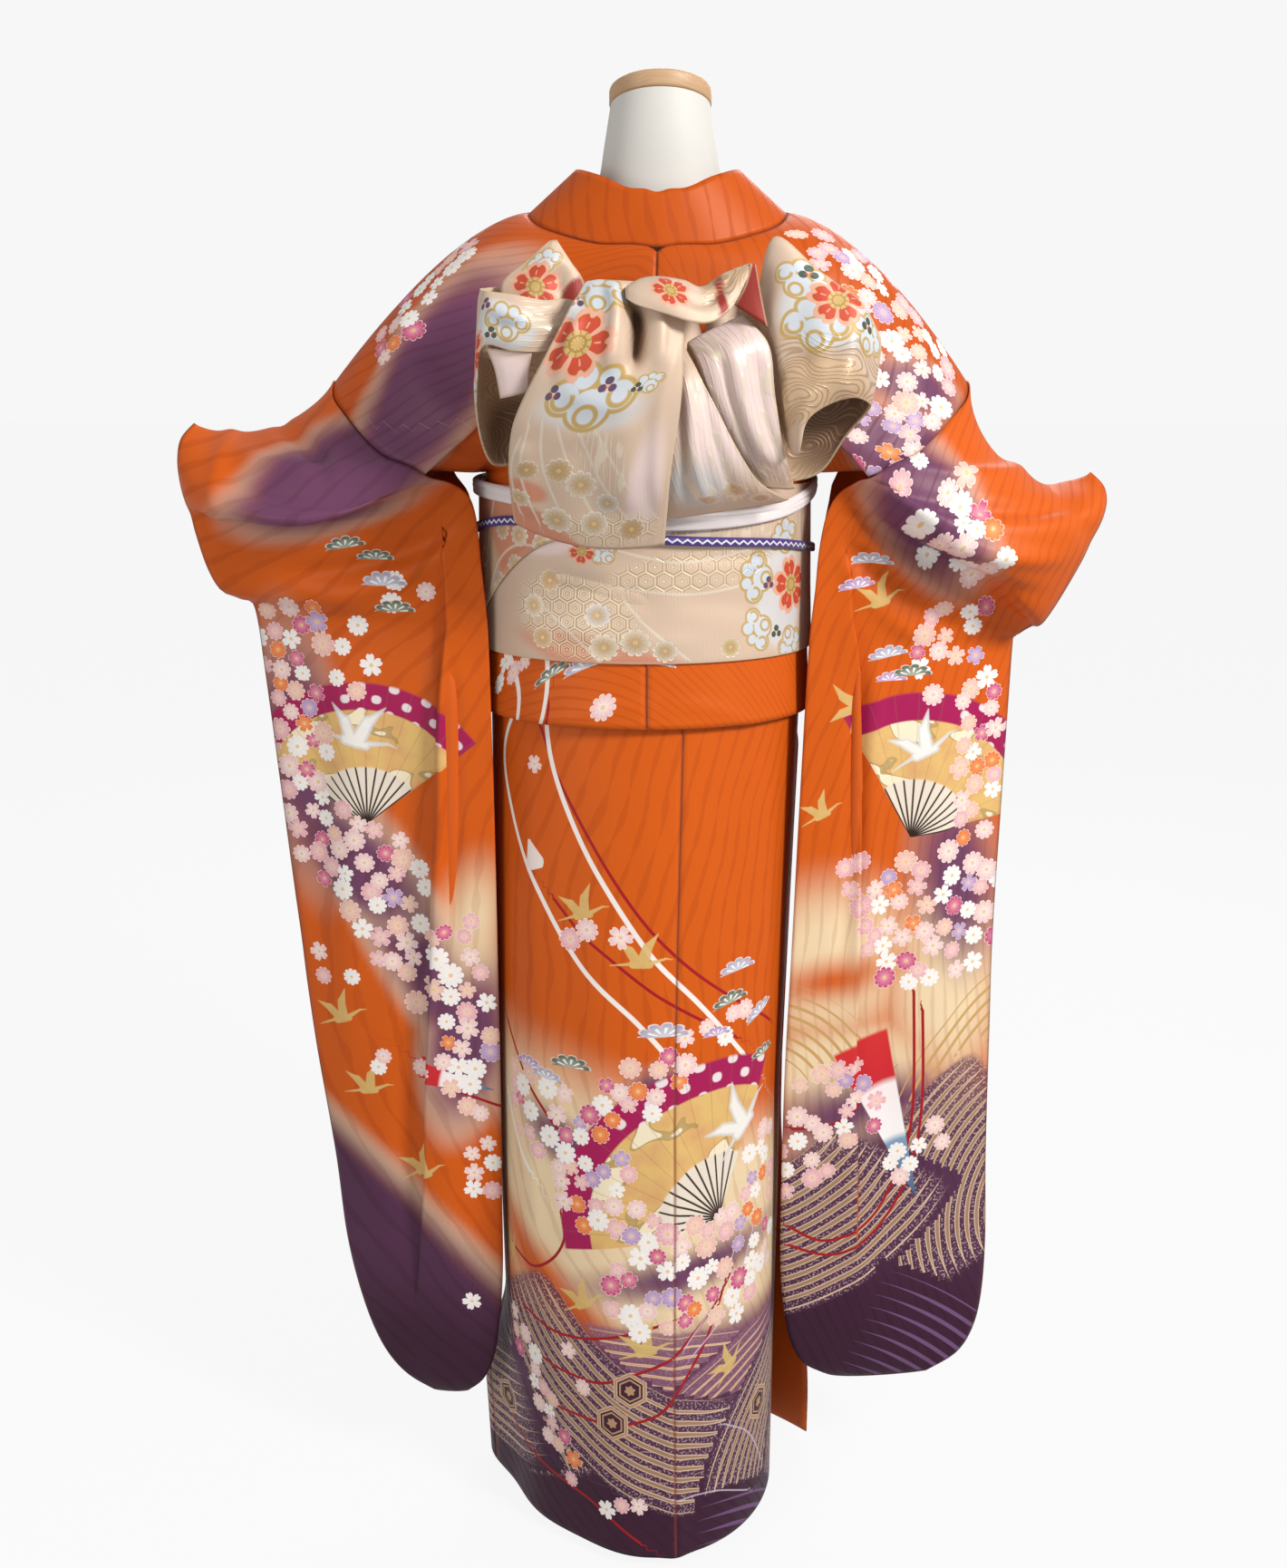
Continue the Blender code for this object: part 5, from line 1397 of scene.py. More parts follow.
leftDesign = {
    "seed": 11,
    "dyesAndShades": (
        ("midPurple", ((-288, 1146, 122, 44, 22, 30),), 0.7),
        ("midPurple", ((-245, 655, 160, 40, 118, 45), (-195, 555, 90, 40, 80, 45)), 0.9),
        ("midPurple", ((-360, 850, 120, 40, 95, 50), (-310, 740, 80, 40, 140, 40)), 0.5),
        ("cream", ((-182, 690, 50, 28, 80, 50),), 0),
        ("purple", ((-420, 100, 600, 305, -46, 55),), 1),
        ("darkPurple", ((-240, 130, 140, 110, -30, 120),), 0),
    ),
    "flowers": (
        (-345, 965, 70, 55, -20, 60, 8.5, 12.5, softMix),
        (-242, 1028, 28, 22, 0, 9, 8.5, 11.5, paleMix), (-362, 840, 85, 32, 95, 46, 8.5, 12.5, softMix),
        (-310, 745, 90, 48, -25, 100, 9, 13, softMix), (-255, 655, 110, 45, -58, 96, 9, 13, softMix),
        (-195, 590, 125, 32, 88, 60, 8.5, 12.5, softMix),
        (-178, 410, 65, 16, 90, 14, 8.5, 11.5, paleMix), (-196, 247, 3, 3, 0, 1, 10, 10.5, paleMix),
        (-350, 620, 40, 40, 0, 4, 8.5, 10.5, paleMix), (-275, 515, 30, 40, 0, 4, 8.5, 10.5, paleMix),
    ),
    "placed": (
        pine(-300, 1075, 22, 10, "green"), pine(-272, 1062, 20, 0, "green"),
        pine(-262, 1040, 24, 0, "grey"), pine(-285, 1030, 22, 5, "mauve"),
        pine(-254, 1012, 22, 0, "green"),
    ),
    "fans": (fan(-292, 785, 150, 4, 56), fan(-165, 500, 85, 78, 9, 2)),
    "birds": (
        bird(-328, 564, 36, 15), bird(-303, 484, 34, 5), bird(-244, 397, 34, 20),
        bird(-300, 870, 50, -20, True), bird(-246, 900, 48, 30, True),
    ),
    "redCords": (((-245, 520), (-215, 502), (-160, 482)),),
    "creases": (
        (-170, 1137, -440, 1140, 20, 9, -7), (-180, 1122, -420, 1118, 18, 8, 4.2),
        (-180, 1155, -430, 1165, 14, 8, 6), (-180, 1096, -380, 1040, 12, 11, -8.5),
        (-180, 1080, -340, 1015, 10, 9, 5.5), (-380, 1185, -300, 1150, 4, 7, -5),
        (-360, 1190, -300, 1130, 6, 10, -5), (-420, 1200, -430, 1050, 4, 10, 4),
        (-215, 1000, -225, 600, 4, 8, 4), (-200, 980, -210, 620, 4, 8, -6),
        (-310, 1020, -330, 450, 8, 20, 3.5), (-260, 950, -270, 250, 10, 18, -3.5),
        (-350, 950, -360, 600, 6, 16, -2.8), (-230, 550, -220, 180, 6, 18, 3),
    ),
}
rightDesign = {
    "seed": 12,
    "dyesAndShades": (
        ("midPurple", ((262, 1110, 85, 42, 122, 35),), 0.6),
        ("cream", (
            (185, 640, 85, 80, 0, 90), (315, 600, 100, 60, 100, 70), (200, 520, 100, 50, 0, 50),
        ), 0),
        ("orange", ((190, 622, 60, 18, 8, 40),), 0),
        ("midPurple", ((320, 720, 90, 40, 100, 50), (240, 460, 100, 45, 0, 50)), 0.3),
        ("purple", ((270, 220, 500, 225, 10, 60),), 0.5),
        ("darkPurple", ((220, 150, 240, 150, 10, 140),), 0),
    ),
    "flowers": (
        (275, 1120, 60, 30, -40, 40, 8.5, 12.5, softMix),
        (300, 1070, 55, 25, -30, 24, 8.5, 11.5, paleMix),
        (300, 975, 60, 38, 70, 34, 8.5, 12.5, softMix), (338, 850, 100, 30, 88, 50, 8.5, 12.5, softMix),
        (295, 680, 85, 75, 10, 150, 9, 13, softMix), (205, 485, 55, 45, 0, 44, 8.5, 12, softMix),
        (160, 415, 35, 40, 0, 20, 8.5, 11.5, paleMix), (290, 430, 60, 30, 60, 8, 8.5, 11, paleMix),
        (205, 725, 30, 30, 0, 4, 8.5, 11, paleMix),
    ),
    "placed": (
        pine(214, 1060, 22, 0, "grey"), pine(200, 1036, 20, 10, "mauve"),
        pine(235, 965, 22, 10, "grey"), pine(262, 945, 22, 0, "green"), pine(240, 940, 18, 0, "mauve"),
    ),
    "fans": (
        fan(268, 770, 155, -26, 56), fan(290, 361, 205, 20, 9, 2), fan(202, 345, 20, 0, 30, 3),
        fan(330, 435, 18.5, 0, 30, 3),
    ),
    "birds": (
        bird(226, 1017, 32, 10), bird(262, 1015, 30, -10), bird(206, 914, 34, 70),
        bird(174, 801, 28, 20), bird(280, 860, 46, 20, True), bird(240, 800, 44, -30, True),
        bird(225, 985, 30, 60),
    ),
    "waves": (
        (500, 400, 115, 260, 112, 172, 12, 3), (110, 480, 50, 150, 20, 96, 11.5, 3),
        (470, 330, 50, 240, 118, 212, 11.5, 0), (60, 545, 150, 330, 276, 330, 12.5, 0),
        (120, -60, 200, 380, 12, 70, 15, 2),
    ),
    "redCords": (
        ((150, 455), (190, 458), (225, 480), (250, 505)),
        ((150, 340), (190, 322), (240, 345), (270, 400), (282, 470), (278, 600)),
        ((150, 318), (200, 305), (250, 335), (280, 392), (292, 470), (288, 580)),
    ),
    "creases": (
        (180, 1150, 440, 1115, -20, 8, -8), (180, 1135, 420, 1060, -20, 9, 7.5),
        (180, 1120, 400, 1020, -16, 8, -7.5), (190, 1165, 420, 1145, -14, 8, 6.5),
        (180, 1105, 370, 995, -14, 9, 7), (180, 1085, 330, 978, -10, 8, -6),
        (180, 1066, 280, 970, -8, 8, 4), (360, 1170, 440, 1060, 6, 10, -4),
        (225, 1000, 215, 550, 4, 10, 4), (205, 980, 195, 600, 4, 9, -6),
        (300, 970, 320, 450, -8, 20, 3.5), (260, 900, 265, 250, -10, 18, -3.5),
        (340, 900, 350, 550, -6, 16, -2.8), (220, 500, 240, 160, -6, 18, 3),
    ),
}


def makeSleeve(name, side, table, design):
    probe = np.array([0.0, 1.5])
    stops = (0, body["armholeRows"], sleeve["cuffEnd"], len(table) - 1)
    rows = evenRows(lambda r: sleeveLayer(side, table, r, probe, False)[:, 1], stops, sleeve["spacing"])
    nearPleat = (0.93, 0.96, 0.975, 0.99, 1.0, 1.01, 1.025, 1.04, 1.07)
    steps = np.concatenate([np.linspace(0, 0.9, 14), nearPleat, np.linspace(1.1, 2, 30)])
    back = sleeveLayer(side, table, rows, steps, False)
    front = sleeveLayer(side, table, rows, steps, True)
    shape = back.shape[:2]
    index = np.arange(shape[0] * shape[1]).reshape(shape)
    other = index + index.size
    other[0], other[-1] = index[0], index[-1]
    closedRows = rows >= sleeve["cuffEnd"]
    other[closedRows, -1] = index[closedRows, -1]
    points = np.concatenate([back.reshape(-1, 3), front.reshape(-1, 3)])
    shared = np.flatnonzero(other.reshape(-1) < index.size)
    points[shared] = (points[shared] + points[shared + index.size]) / 2
    renumber = np.concatenate([index.reshape(-1), other.reshape(-1)])
    quads = np.concatenate([gridQuads(*shape, flip=side > 0), gridQuads(*shape, flip=side < 0) + index.size])
    used, compact = np.unique(renumber[quads], return_inverse=True)
    quads = compact.reshape(-1, 4)
    u, v = arcLengths(back)
    seam = np.minimum(u[:, -1:] - u, v[-1:] - v).reshape(-1)
    seam = np.concatenate([seam, seam])[used]
    points = points[used]
    flat = points[:, (0, 2)]
    normals = pointNormals(points, quads)
    points = points + normals * sleeve["cloth"]
    piece = clothPiece(name, silkCloth, points, normals, quads, flat, seam, design, skirt["cloth"])
    print(name)


makeSleeve("sleeve_left", -1, sleeveLeft, leftDesign)
makeSleeve("sleeve_right", 1, sleeveRight, rightDesign)

# Sash, band and cord: closed rings round the body

sash = {
    "face": 0.0105,  # inner face outside the skirt's round
    "out": 0.0135,
    "thickness": 0.003,
    "bottom": 0.968,
    "top": 1.132,
    "wrapTurn": 90.0,
    "cloth": 0.002,
}
fold = {
    "turns": (-210.0, -112.4, 1.25),  # first, last, step
    "rows": 44,
    "top": 1.130,
    "low": 0.984,
    "rises": ((0.100, -182, 66), (0.030, -178, -25)),  # of the lower edge: height, from turn, over degrees
    "lift": 0.0024,
    "swell": 0.0016,
}
cordRing = {
    "z": (1.065, 1.068, 1.072, 1.076, 1.084, 1.100, 1.087, 1.079),
    "lift": (0.0004, 0.0004, 0.0004, 0.0031, 0.0031, 0.0031, 0.0031, 0.0010),
    "height": 0.009,
    "thickness": 0.004,
}
bandRing = {
    "z": (1.130, 1.130, 1.130, 1.130, 1.128, 1.122, 1.103, 1.108),
    "lift": (0.0010, 0.0014, 0.0014, 0.0031, 0.0031, 0.0031, 0.0031, 0.0014),
    "height": 0.016,
    "thickness": 0.005,
}


def crest(u, v, size, lean, kind, shade=0.2):
    # Kinds: 1 flower, 2 cloud, 3 trefoil, which is purple or, from shade 0.5 on, green.
    return (u, v, size, math.radians(lean), kind + shade)


def mum(u, v, size, shade="white"):
    # Each daisy is turned by its own place.
    return (u, v, size, u * 0.09, motifKinds["daisy"] + tint[shade])


sashDesign = {
    "dyesAndShades": (
        ("salmon", (
            (-35, 972, 85, 18, -14, 10), (250, 1050, 60, 40, 30, 10), (-300, 1020, 60, 30, 20, 10),
        ), 0),
        ("lilac", ((-85, 1080, 35, 10, 10, 8),), 0),
        ("silver", (
            (135, 1030, 32, 55, 0, 12), (-420, 1050, 50, 50, 0, 12), (400, 1040, 50, 50, 0, 12),
        ), 0),
    ),
    "hexes": (
        (-65, 1012, 60, 38, -14, 10), (45, 1056, 80, 19, 8, 5), (300, 1040, 70, 30, 0, 10),
        (-350, 1060, 70, 30, 0, 10),
    ),
    "watered": ((-220, 1050, 60, 60, 0, 20), (220, 1090, 50, 30, 0, 20)),
    "streaks": ((60, 1100, 100, 16, 0, 10),),
    "crests": (
        crest(108, 1046, 30, 80, 2), crest(108, 998, 26, 110, 2), crest(142, 1080, 26, 20, 2),
        crest(148, 984, 24, 200, 2), crest(152, 1036, 30, 10, 1), crest(118, 1040, 8, 0, 3),
        crest(136, 1078, 8, 0, 3), crest(128, 992, 8, 0, 3, 0.6), crest(-56, 1074, 14, 30, 1),
        crest(-34, 1070, 15, 40, 2), crest(-420, 1050, 45, 0, 2), crest(-420, 1055, 28, 0, 1),
        crest(400, 1040, 45, 180, 2), crest(400, 1045, 28, 0, 1), crest(-240, 1000, 30, 0, 2),
        crest(290, 1090, 28, 0, 2), crest(290, 1100, 16, 0, 1),
    ),
    "placed": (
        mum(-9, 989, 13.5), mum(-36, 984, 13.5), mum(16, 981, 11), mum(-42, 1014, 12, "mauve"),
        mum(-88, 1045, 11, "pink"), mum(-105, 1020, 12), mum(-95, 990, 11, "pink"),
        mum(75, 982, 10, "grey"), mum(220, 1040, 14), mum(260, 1030, 14), mum(240, 1070, 13),
        mum(-300, 1030, 14), mum(-270, 1050, 14), mum(-330, 1010, 13), mum(340, 1080, 13),
        mum(460, 1070, 14), mum(-470, 1000, 14),
    ),
    "creamLines": (
        ((-20, 1030), (0, 1005), (34, 974)), ((-30, 1077), (30, 1064), (95, 1074)),
        ((-20, 1040), (40, 1034), (95, 1042)), ((-105, 1028), (-70, 1000), (-40, 970)),
    ),
    "creases": (
        (-100, 1050, 20, 1020, 4, 9, 2.2), (-90, 1005, 60, 985, -4, 10, -1.4),
        (10, 1075, 150, 1070, -4, 7, 1.6), (20, 1030, 130, 1010, 4, 12, 1.4),
    ),
}
foldDesign = {
    "dyesAndShades": (
        ("salmon", ((-130, 1050, 250, 250, 0, 10),), 0),
        ("lilac", ((-68, 1092, 22, 10, 10, 8),), 0),
        ("gold", ((-165, 1040, 20, 50, 20, 20),), 0),
    ),
    "placed": (
        mum(-121, 1086, 11.5), mum(-94, 1080, 11), mum(-126, 1058, 10.5), mum(-74, 1087, 9.5, "mauve"),
        mum(-150, 1040, 10.5, "mauve"), mum(-168, 1012, 10.5), mum(-146, 1090, 11), mum(-185, 1060, 11),
        mum(-145, 1015, 8, "pink"), mum(-210, 1030, 11), mum(-240, 1080, 11), mum(-280, 1060, 11),
    ),
    "creamLines": (
        ((-168, 1020), (-155, 1055), (-125, 1076), (-80, 1076)), ((-165, 1005), (-140, 1032), (-95, 1052)),
        ((-160, 1120), (-175, 1070), (-180, 1010)),
    ),
}


def aroundBody(values, turns):
    # Values given every 45 degrees from +X, joined smoothly round the body.
    closed = np.array([values[-1], *values, values[0], values[1]], float)[:, None]
    return along(closed, (np.asarray(turns) % 360) / 45.0 + 1)[..., 0]


def ringPoints(middle, face, profile, count):
    # A ring whose closed profile of (out, up) runs from the outer face over the top to the inner one.
    turns = sash["wrapTurn"] + np.linspace(0, 360, count, endpoint=False)[:, None]
    out, up = profile.T
    points = roundPoint(turns, aroundBody(middle, turns) + up, aroundBody(face, turns) + out)
    rows, columns = points.shape[:2]
    quads = gridQuads(rows + 1, columns, closed=True) % (rows * columns)
    u = np.radians((turns + 90.0 + 180) % 360 - 180) * skirt["radius"]
    flat = np.stack(np.broadcast_arrays(u, points[..., 2]), axis=-1)
    return points, quads, flat


def bandProfile(height, thickness, count):
    # The section of a flat band with rounded edges: up the outer face, over, and down the inner face.
    depth = thickness / 2
    level = np.linspace(depth - height / 2, height / 2 - depth, count)
    bend = np.linspace(0, math.pi, 6)[1:-1]
    turnOut, turnUp = depth * np.cos(bend), depth * np.sin(bend)
    out = np.concatenate([np.full(count, thickness), depth + turnOut, np.zeros(count), depth - turnOut])
    up = np.concatenate([level, level[-1] + turnUp, level[::-1], level[0] - turnUp])
    return np.stack([out, up], axis=-1)


def declareRing(points):
    girth = float(np.linalg.norm(np.diff(points[:, 0], axis=0), axis=1).sum())


def makeSash():
    height = sash["top"] - sash["bottom"]
    middle = ((sash["bottom"] + sash["top"]) / 2,) * 8
    profile = bandProfile(height, sash["thickness"], 34)
    points, quads, flat = ringPoints(middle, (sash["face"],) * 8, profile, 210)
    normals = pointNormals(points, quads)
    seam = np.minimum(points[..., 2] - sash["bottom"], sash["top"] - points[..., 2])
    piece = clothPiece("obi_wrap", sashCloth, points, normals, quads, flat, seam, sashDesign, 0)
    declareRing(points)
    turns = np.arange(*fold["turns"])[None, :]
    share = np.linspace(0, 1, fold["rows"])[:, None]
    low = fold["low"]
    for rise, start, span in fold["rises"]:
        low = low + rise * smoothStep((turns - start) / span)
    z = fold["top"] + (low - fold["top"]) * share
    swell = smoothStep((share - 0.75) / 0.2) - smoothStep((share - 0.94) / 0.06)
    points = roundPoint(turns, z, sash["out"] + fold["lift"] + fold["swell"] * swell)
    quads = gridQuads(*points.shape[:2], flip=True)
    normals = pointNormals(points, quads)
    flat = skirtFlat(turns, z) + (math.radians(90 + skirt["backSeam"]) * skirt["radius"], 0)
    seam = (1 - share) * 0.10
    piece = clothPiece("obi_fold", sashCloth, points, normals, quads, flat, seam, foldDesign, sash["cloth"])
    print("sash")


makeSash()


braidWeave = {"zigzag": 0.0085, "swing": 0.0016, "plait": 0.0022, "plaitLean": 520}


def braidFinish():
    # Royal purple braid with a white zigzag along its middle and herringbone edges.
    finish = Finish("flat_braid", {"Roughness": 0.55, "Sheen Weight": 0.15, "Specular IOR Level": 0.3})
    u, v, across = finish.attribute("flat")
    zigzag = abs((u * (1 / braidWeave["zigzag"])).fraction() - 0.5) * 4 - 1
    line = abs(across - zigzag * braidWeave["swing"]).below(0.0010, 0.0005)
    plait = (u * (1 / braidWeave["plait"]) + abs(across) * braidWeave["plaitLean"]).fraction()
    color = finish.mix(plait.above(0.5, 0.3), (0.040, 0.018, 0.15), (0.085, 0.045, 0.27))
    finish.feed("Base Color", finish.mix(line, color, (0.74, 0.72, 0.74)))
    finish.bump(plait + line * 0.6, 0.7, 0.0008)
    return finish


def crepeFinish():
    finish = Finish("white_crepe", {"Roughness": 0.7, "Sheen Weight": 0.2})
    grain = finish.noise(finish.objectPlace(), 1400.0, 2.0)
    color = finish.mix(grain.above(0.5, 0.5) * 0.35, (0.80, 0.74, 0.72), (0.70, 0.58, 0.56))
    finish.feed("Base Color", color)
    finish.bump(grain, 0.4, 0.0004)
    return finish


def makeCords():
    braid = braidFinish()
    profile = bandProfile(cordRing["height"], cordRing["thickness"], 9)
    face = [sash["out"] + lift for lift in cordRing["lift"]]
    points, quads, flat = ringPoints(cordRing["z"], face, profile, 420)
    across = np.broadcast_to(profile[:, 1:], (*points.shape[:2], 1))
    mesh = makeMesh("obijime_cloth", points, quads, {"flat": np.concatenate([flat, across], axis=-1)})
    addPiece("obijime_braid", mesh, braid, ["obijime"])
    profile = bandProfile(bandRing["height"], bandRing["thickness"], 12)
    face = [sash["out"] + lift for lift in bandRing["lift"]]
    points, quads, flat = ringPoints(bandRing["z"], face, profile, 360)
    rng = np.random.default_rng(4)
    height = np.zeros(points.shape[:2])
    up = profile[None, :, 1]
    turns = np.linspace(0, 2 * math.pi, len(points), endpoint=False)[:, None]
    for k in range(5):
        lean = rng.uniform(0.001, 0.003) * np.sin(turns * rng.integers(2, 5) + rng.uniform(0, 6))
        rise = rng.uniform(-0.0012, 0.0012)
        height += rise * np.exp(-(((up - rng.uniform(-0.006, 0.006) - lean) / 0.0016) ** 2))
    wrinkled = points + pointNormals(points, quads) * height[..., None]
    mesh = makeMesh("obiage_cloth", wrinkled, quads, {"flat": flat[..., (0, 1, 0)]})
    piece = addPiece("obiage_crepe", mesh, crepeFinish(), ["obiage"])
    declareRing(points)
    print("band and cord")
    return braid


braid = makeCords()


def stackMesh(name, rings):
    # A closed solid through a stack of rings, with a flat cap at each end.
    count, sides = rings.shape[:2]
    faces = gridQuads(count, sides, closed=True).tolist()
    faces += [list(range(sides))[::-1], [(count - 1) * sides + k for k in range(sides)]]
    mesh = bpy.data.meshes.new(name)
    mesh.from_pydata(rings.reshape(-1, 3).tolist(), [], faces)
    mesh.polygons.foreach_set("use_smooth", np.ones(len(faces), bool))
    mesh.set_sharp_from_angle(angle=math.radians(50))
    return mesh


def ovalRings(sections, rowCount, sides, tilt=0.0, tiltFrom=1.40, tiltOver=0.07):
    # Ovals of z, x, y, half width and half depth, which tilt from one height on.
    rows = along(sections, np.linspace(0, len(sections) - 1, rowCount))
    z, x, y, wide, deep = (rows[:, None, k] for k in range(5))
    angles = np.linspace(0, 2 * math.pi, sides, endpoint=False)[None, :]
    lean = tilt * smoothStep((z - tiltFrom) / tiltOver)
    away = deep * np.sin(angles)
    return np.stack([x + wide * np.cos(angles), y + away, z - away * np.tan(lean)], axis=-1)


cordKnot = {
    "wide": 0.013,
    "tall": 0.008,
    "gap": 0.0006,
    "slices": ((0, 0.6), (0.001, 0.85), (0.002, 0.95), (0.004, 1), (0.006, 1), (0.008, 0.85), (0.009, 0.6)),
}


def makeCordKnot():
    face = sash["out"] + cordRing["lift"][2] + cordRing["thickness"] + cordKnot["gap"]
    middle = roundPoint(90.0, np.array(cordRing["z"][2]), face)
    angle = np.linspace(0, 2 * math.pi, 40, endpoint=False)
    depth, size = np.array(cordKnot["slices"]).T[..., None]
    across = middle[0] + cordKnot["wide"] * size * np.cos(angle)
    up = middle[2] - cordKnot["tall"] * size * np.sin(angle)
    rings = np.stack([across, middle[1] + depth + 0 * angle, up], axis=-1)
    mesh = stackMesh("obijime_knot_cord", rings)
    addValues(mesh, "POINT", {"flat": np.stack([across + up * 0.7, up, up - middle[2]], axis=-1)})
    addPiece("obijime_knot_cord", mesh, braid, ["obijime_knot"])


makeCordKnot()

# Bow: stretches of the sash, each between two edges

bow = {
    "spacing": 0.003,
    "cloth": 0.002,
    "curl": 0.0016,
    "curlWidth": 0.006,
    "flapDrop": 0.014,  # the flap's lower edge sags from row 5.5 on
    "dropFrom": 5.5,
    "dropOver": 2.5,
    "frontFirst": ("bow_corner_left", "bow_roll"),
}
bowStrips = {  # rows: x, y, z of one edge, of the other edge, and the swelling between
    "bow_loop_right": (
        (122, -172, 1172, 90, -178, 1290, 4),
        (129, -190, 1168, 104, -182, 1352, 12),
        (138, -200, 1199, 143, -188, 1326, 14),
        (171, -195, 1216, 183, -186, 1296, 10),
        (194, -178, 1211, 202, -176, 1268, 3),
        (194, -160, 1202, 198, -160, 1276, -1),
        (177, -146, 1180, 178, -150, 1301, -1),
        (155, -138, 1148, 146, -146, 1310, 0),
        (119, -142, 1140, 112, -148, 1316, 0),
        (80, -158, 1148, 76, -158, 1311, 0),
        (47.6, -169, 1165, 47.6, -169, 1296, 0),
    ),
    "bow_loop_left": (
        (-45.7, -169, 1165, -45.7, -169, 1250, 0),
        (-72, -156, 1160, -72, -158, 1280, 0),
        (-108, -143, 1158, -105, -149, 1301, 0),
        (-140, -142, 1154, -132, -150, 1311, 0),
        (-151, -155, 1162, -150, -166, 1310, 2),
        (-157, -178, 1192, -151, -186, 1309, 4),
        (-156, -196, 1227, -148, -206, 1307, 4),
        (-147, -214, 1260, -141, -218, 1306, 4),
        (-119, -225, 1256, -117, -222, 1303, 4),
        (-91, -222, 1256, -93, -214, 1299, 4),
        (-69, -208, 1262, -72, -200, 1300, 2),
        (-44.5, -192.6, 1266, -48, -190, 1290, 0),
    ),
    "bow_fold_left": (
        (-144, -212.8, 1258.8, -104, -223.5, 1255.2, 0),
        (-137, -212.5, 1240, -106, -219, 1240, 2),
        (-133, -210, 1216, -107, -213.5, 1222, 2),
    ),
    "bow_corner_left": (
        (-110, -184, 1262, -42, -192.1, 1262, 2),
        (-128, -176, 1285, -56, -178, 1290, 3),
        (-133, -168, 1314, -60, -172, 1315, 3),
        (-110, -166, 1334, -72, -169, 1333, 2),
        (-91, -165, 1350, -84, -165, 1351, 0),
    ),
    "bow_roll": (
        (-23, -224.2, 1309.8, -23, -238.2, 1299.8, 2),
        (-11, -220.2, 1316.8, -13, -245.2, 1293.8, 5),
        (5, -216.2, 1318.8, 13, -249.2, 1285.8, 8),
        (27, -210.2, 1315.8, 36, -246.2, 1279.8, 8),
        (42, -206.2, 1310.8, 53, -238.2, 1281.8, 6),
        (61, -204.2, 1321.8, 69, -228.2, 1294.8, 3),
        (83, -202.2, 1329.8, 81, -212.2, 1319.8, 0),
    ),
    "bow_peak": (
        (84.5, -207.2, 1328.8, 89, -202.2, 1328.8, 0),
        (79, -207.2, 1310.8, 94, -198.2, 1304.8, 0),
        (70, -206.2, 1294.8, 100, -198.2, 1276.8, 0),
    ),
    "bow_flap": (
        (-22, -172, 1293.6, 24, -172, 1293.6, 0),
        (-44, -192, 1303, 6, -196, 1303, 0),
        (-56, -214, 1315, 0, -214, 1312, 3),
        (-71, -232, 1291, 24, -230, 1290, 4),
        (-92, -236, 1253, 26, -236, 1254, 10),
        (-120, -222, 1199, 24, -236, 1212, 10),
        (-127, -202, 1160, 16, -222, 1155, 8),
        (-127, -182, 1128, 13, -200, 1117, 6),
        (-126, -170, 1110, 11, -182, 1085, 4),
    ),
    "bow_pleat_inner": (
        (30, -189.9, 1264, 78, -190, 1287, 0),
        (39, -203, 1247, 101, -200, 1262, 4),
        (52, -200, 1212, 108, -196, 1218, 4),
        (75, -184, 1168, 117.5, -182, 1172, 3),
        (101, -156, 1136, 133, -132, 1132, 0),
    ),
    "bow_pleat_outer": (
        (18, -194.9, 1262, 27, -193.8, 1262, 0),
        (20, -215, 1228, 47, -212, 1226, 1),
        (16, -210, 1170, 73, -204, 1176, 3),
        (13, -188, 1133, 98, -176, 1140, 3),
        (12, -157, 1107, 127, -134, 1122, 2),
    ),
}
bowKnot = np.array((  # z, x, y, half width, half depth
    (1112.1, 4, -140.5, 18, 5),
    (1122, 4, -148, 30, 12),
    (1150, 2, -162, 42, 24),
    (1200, 1, -169, 46, 28),
    (1250, 1, -170, 46, 28),
    (1280, 1, -170, 40, 22),
    (1292, 1, -170, 26, 12),
)) / perMetre
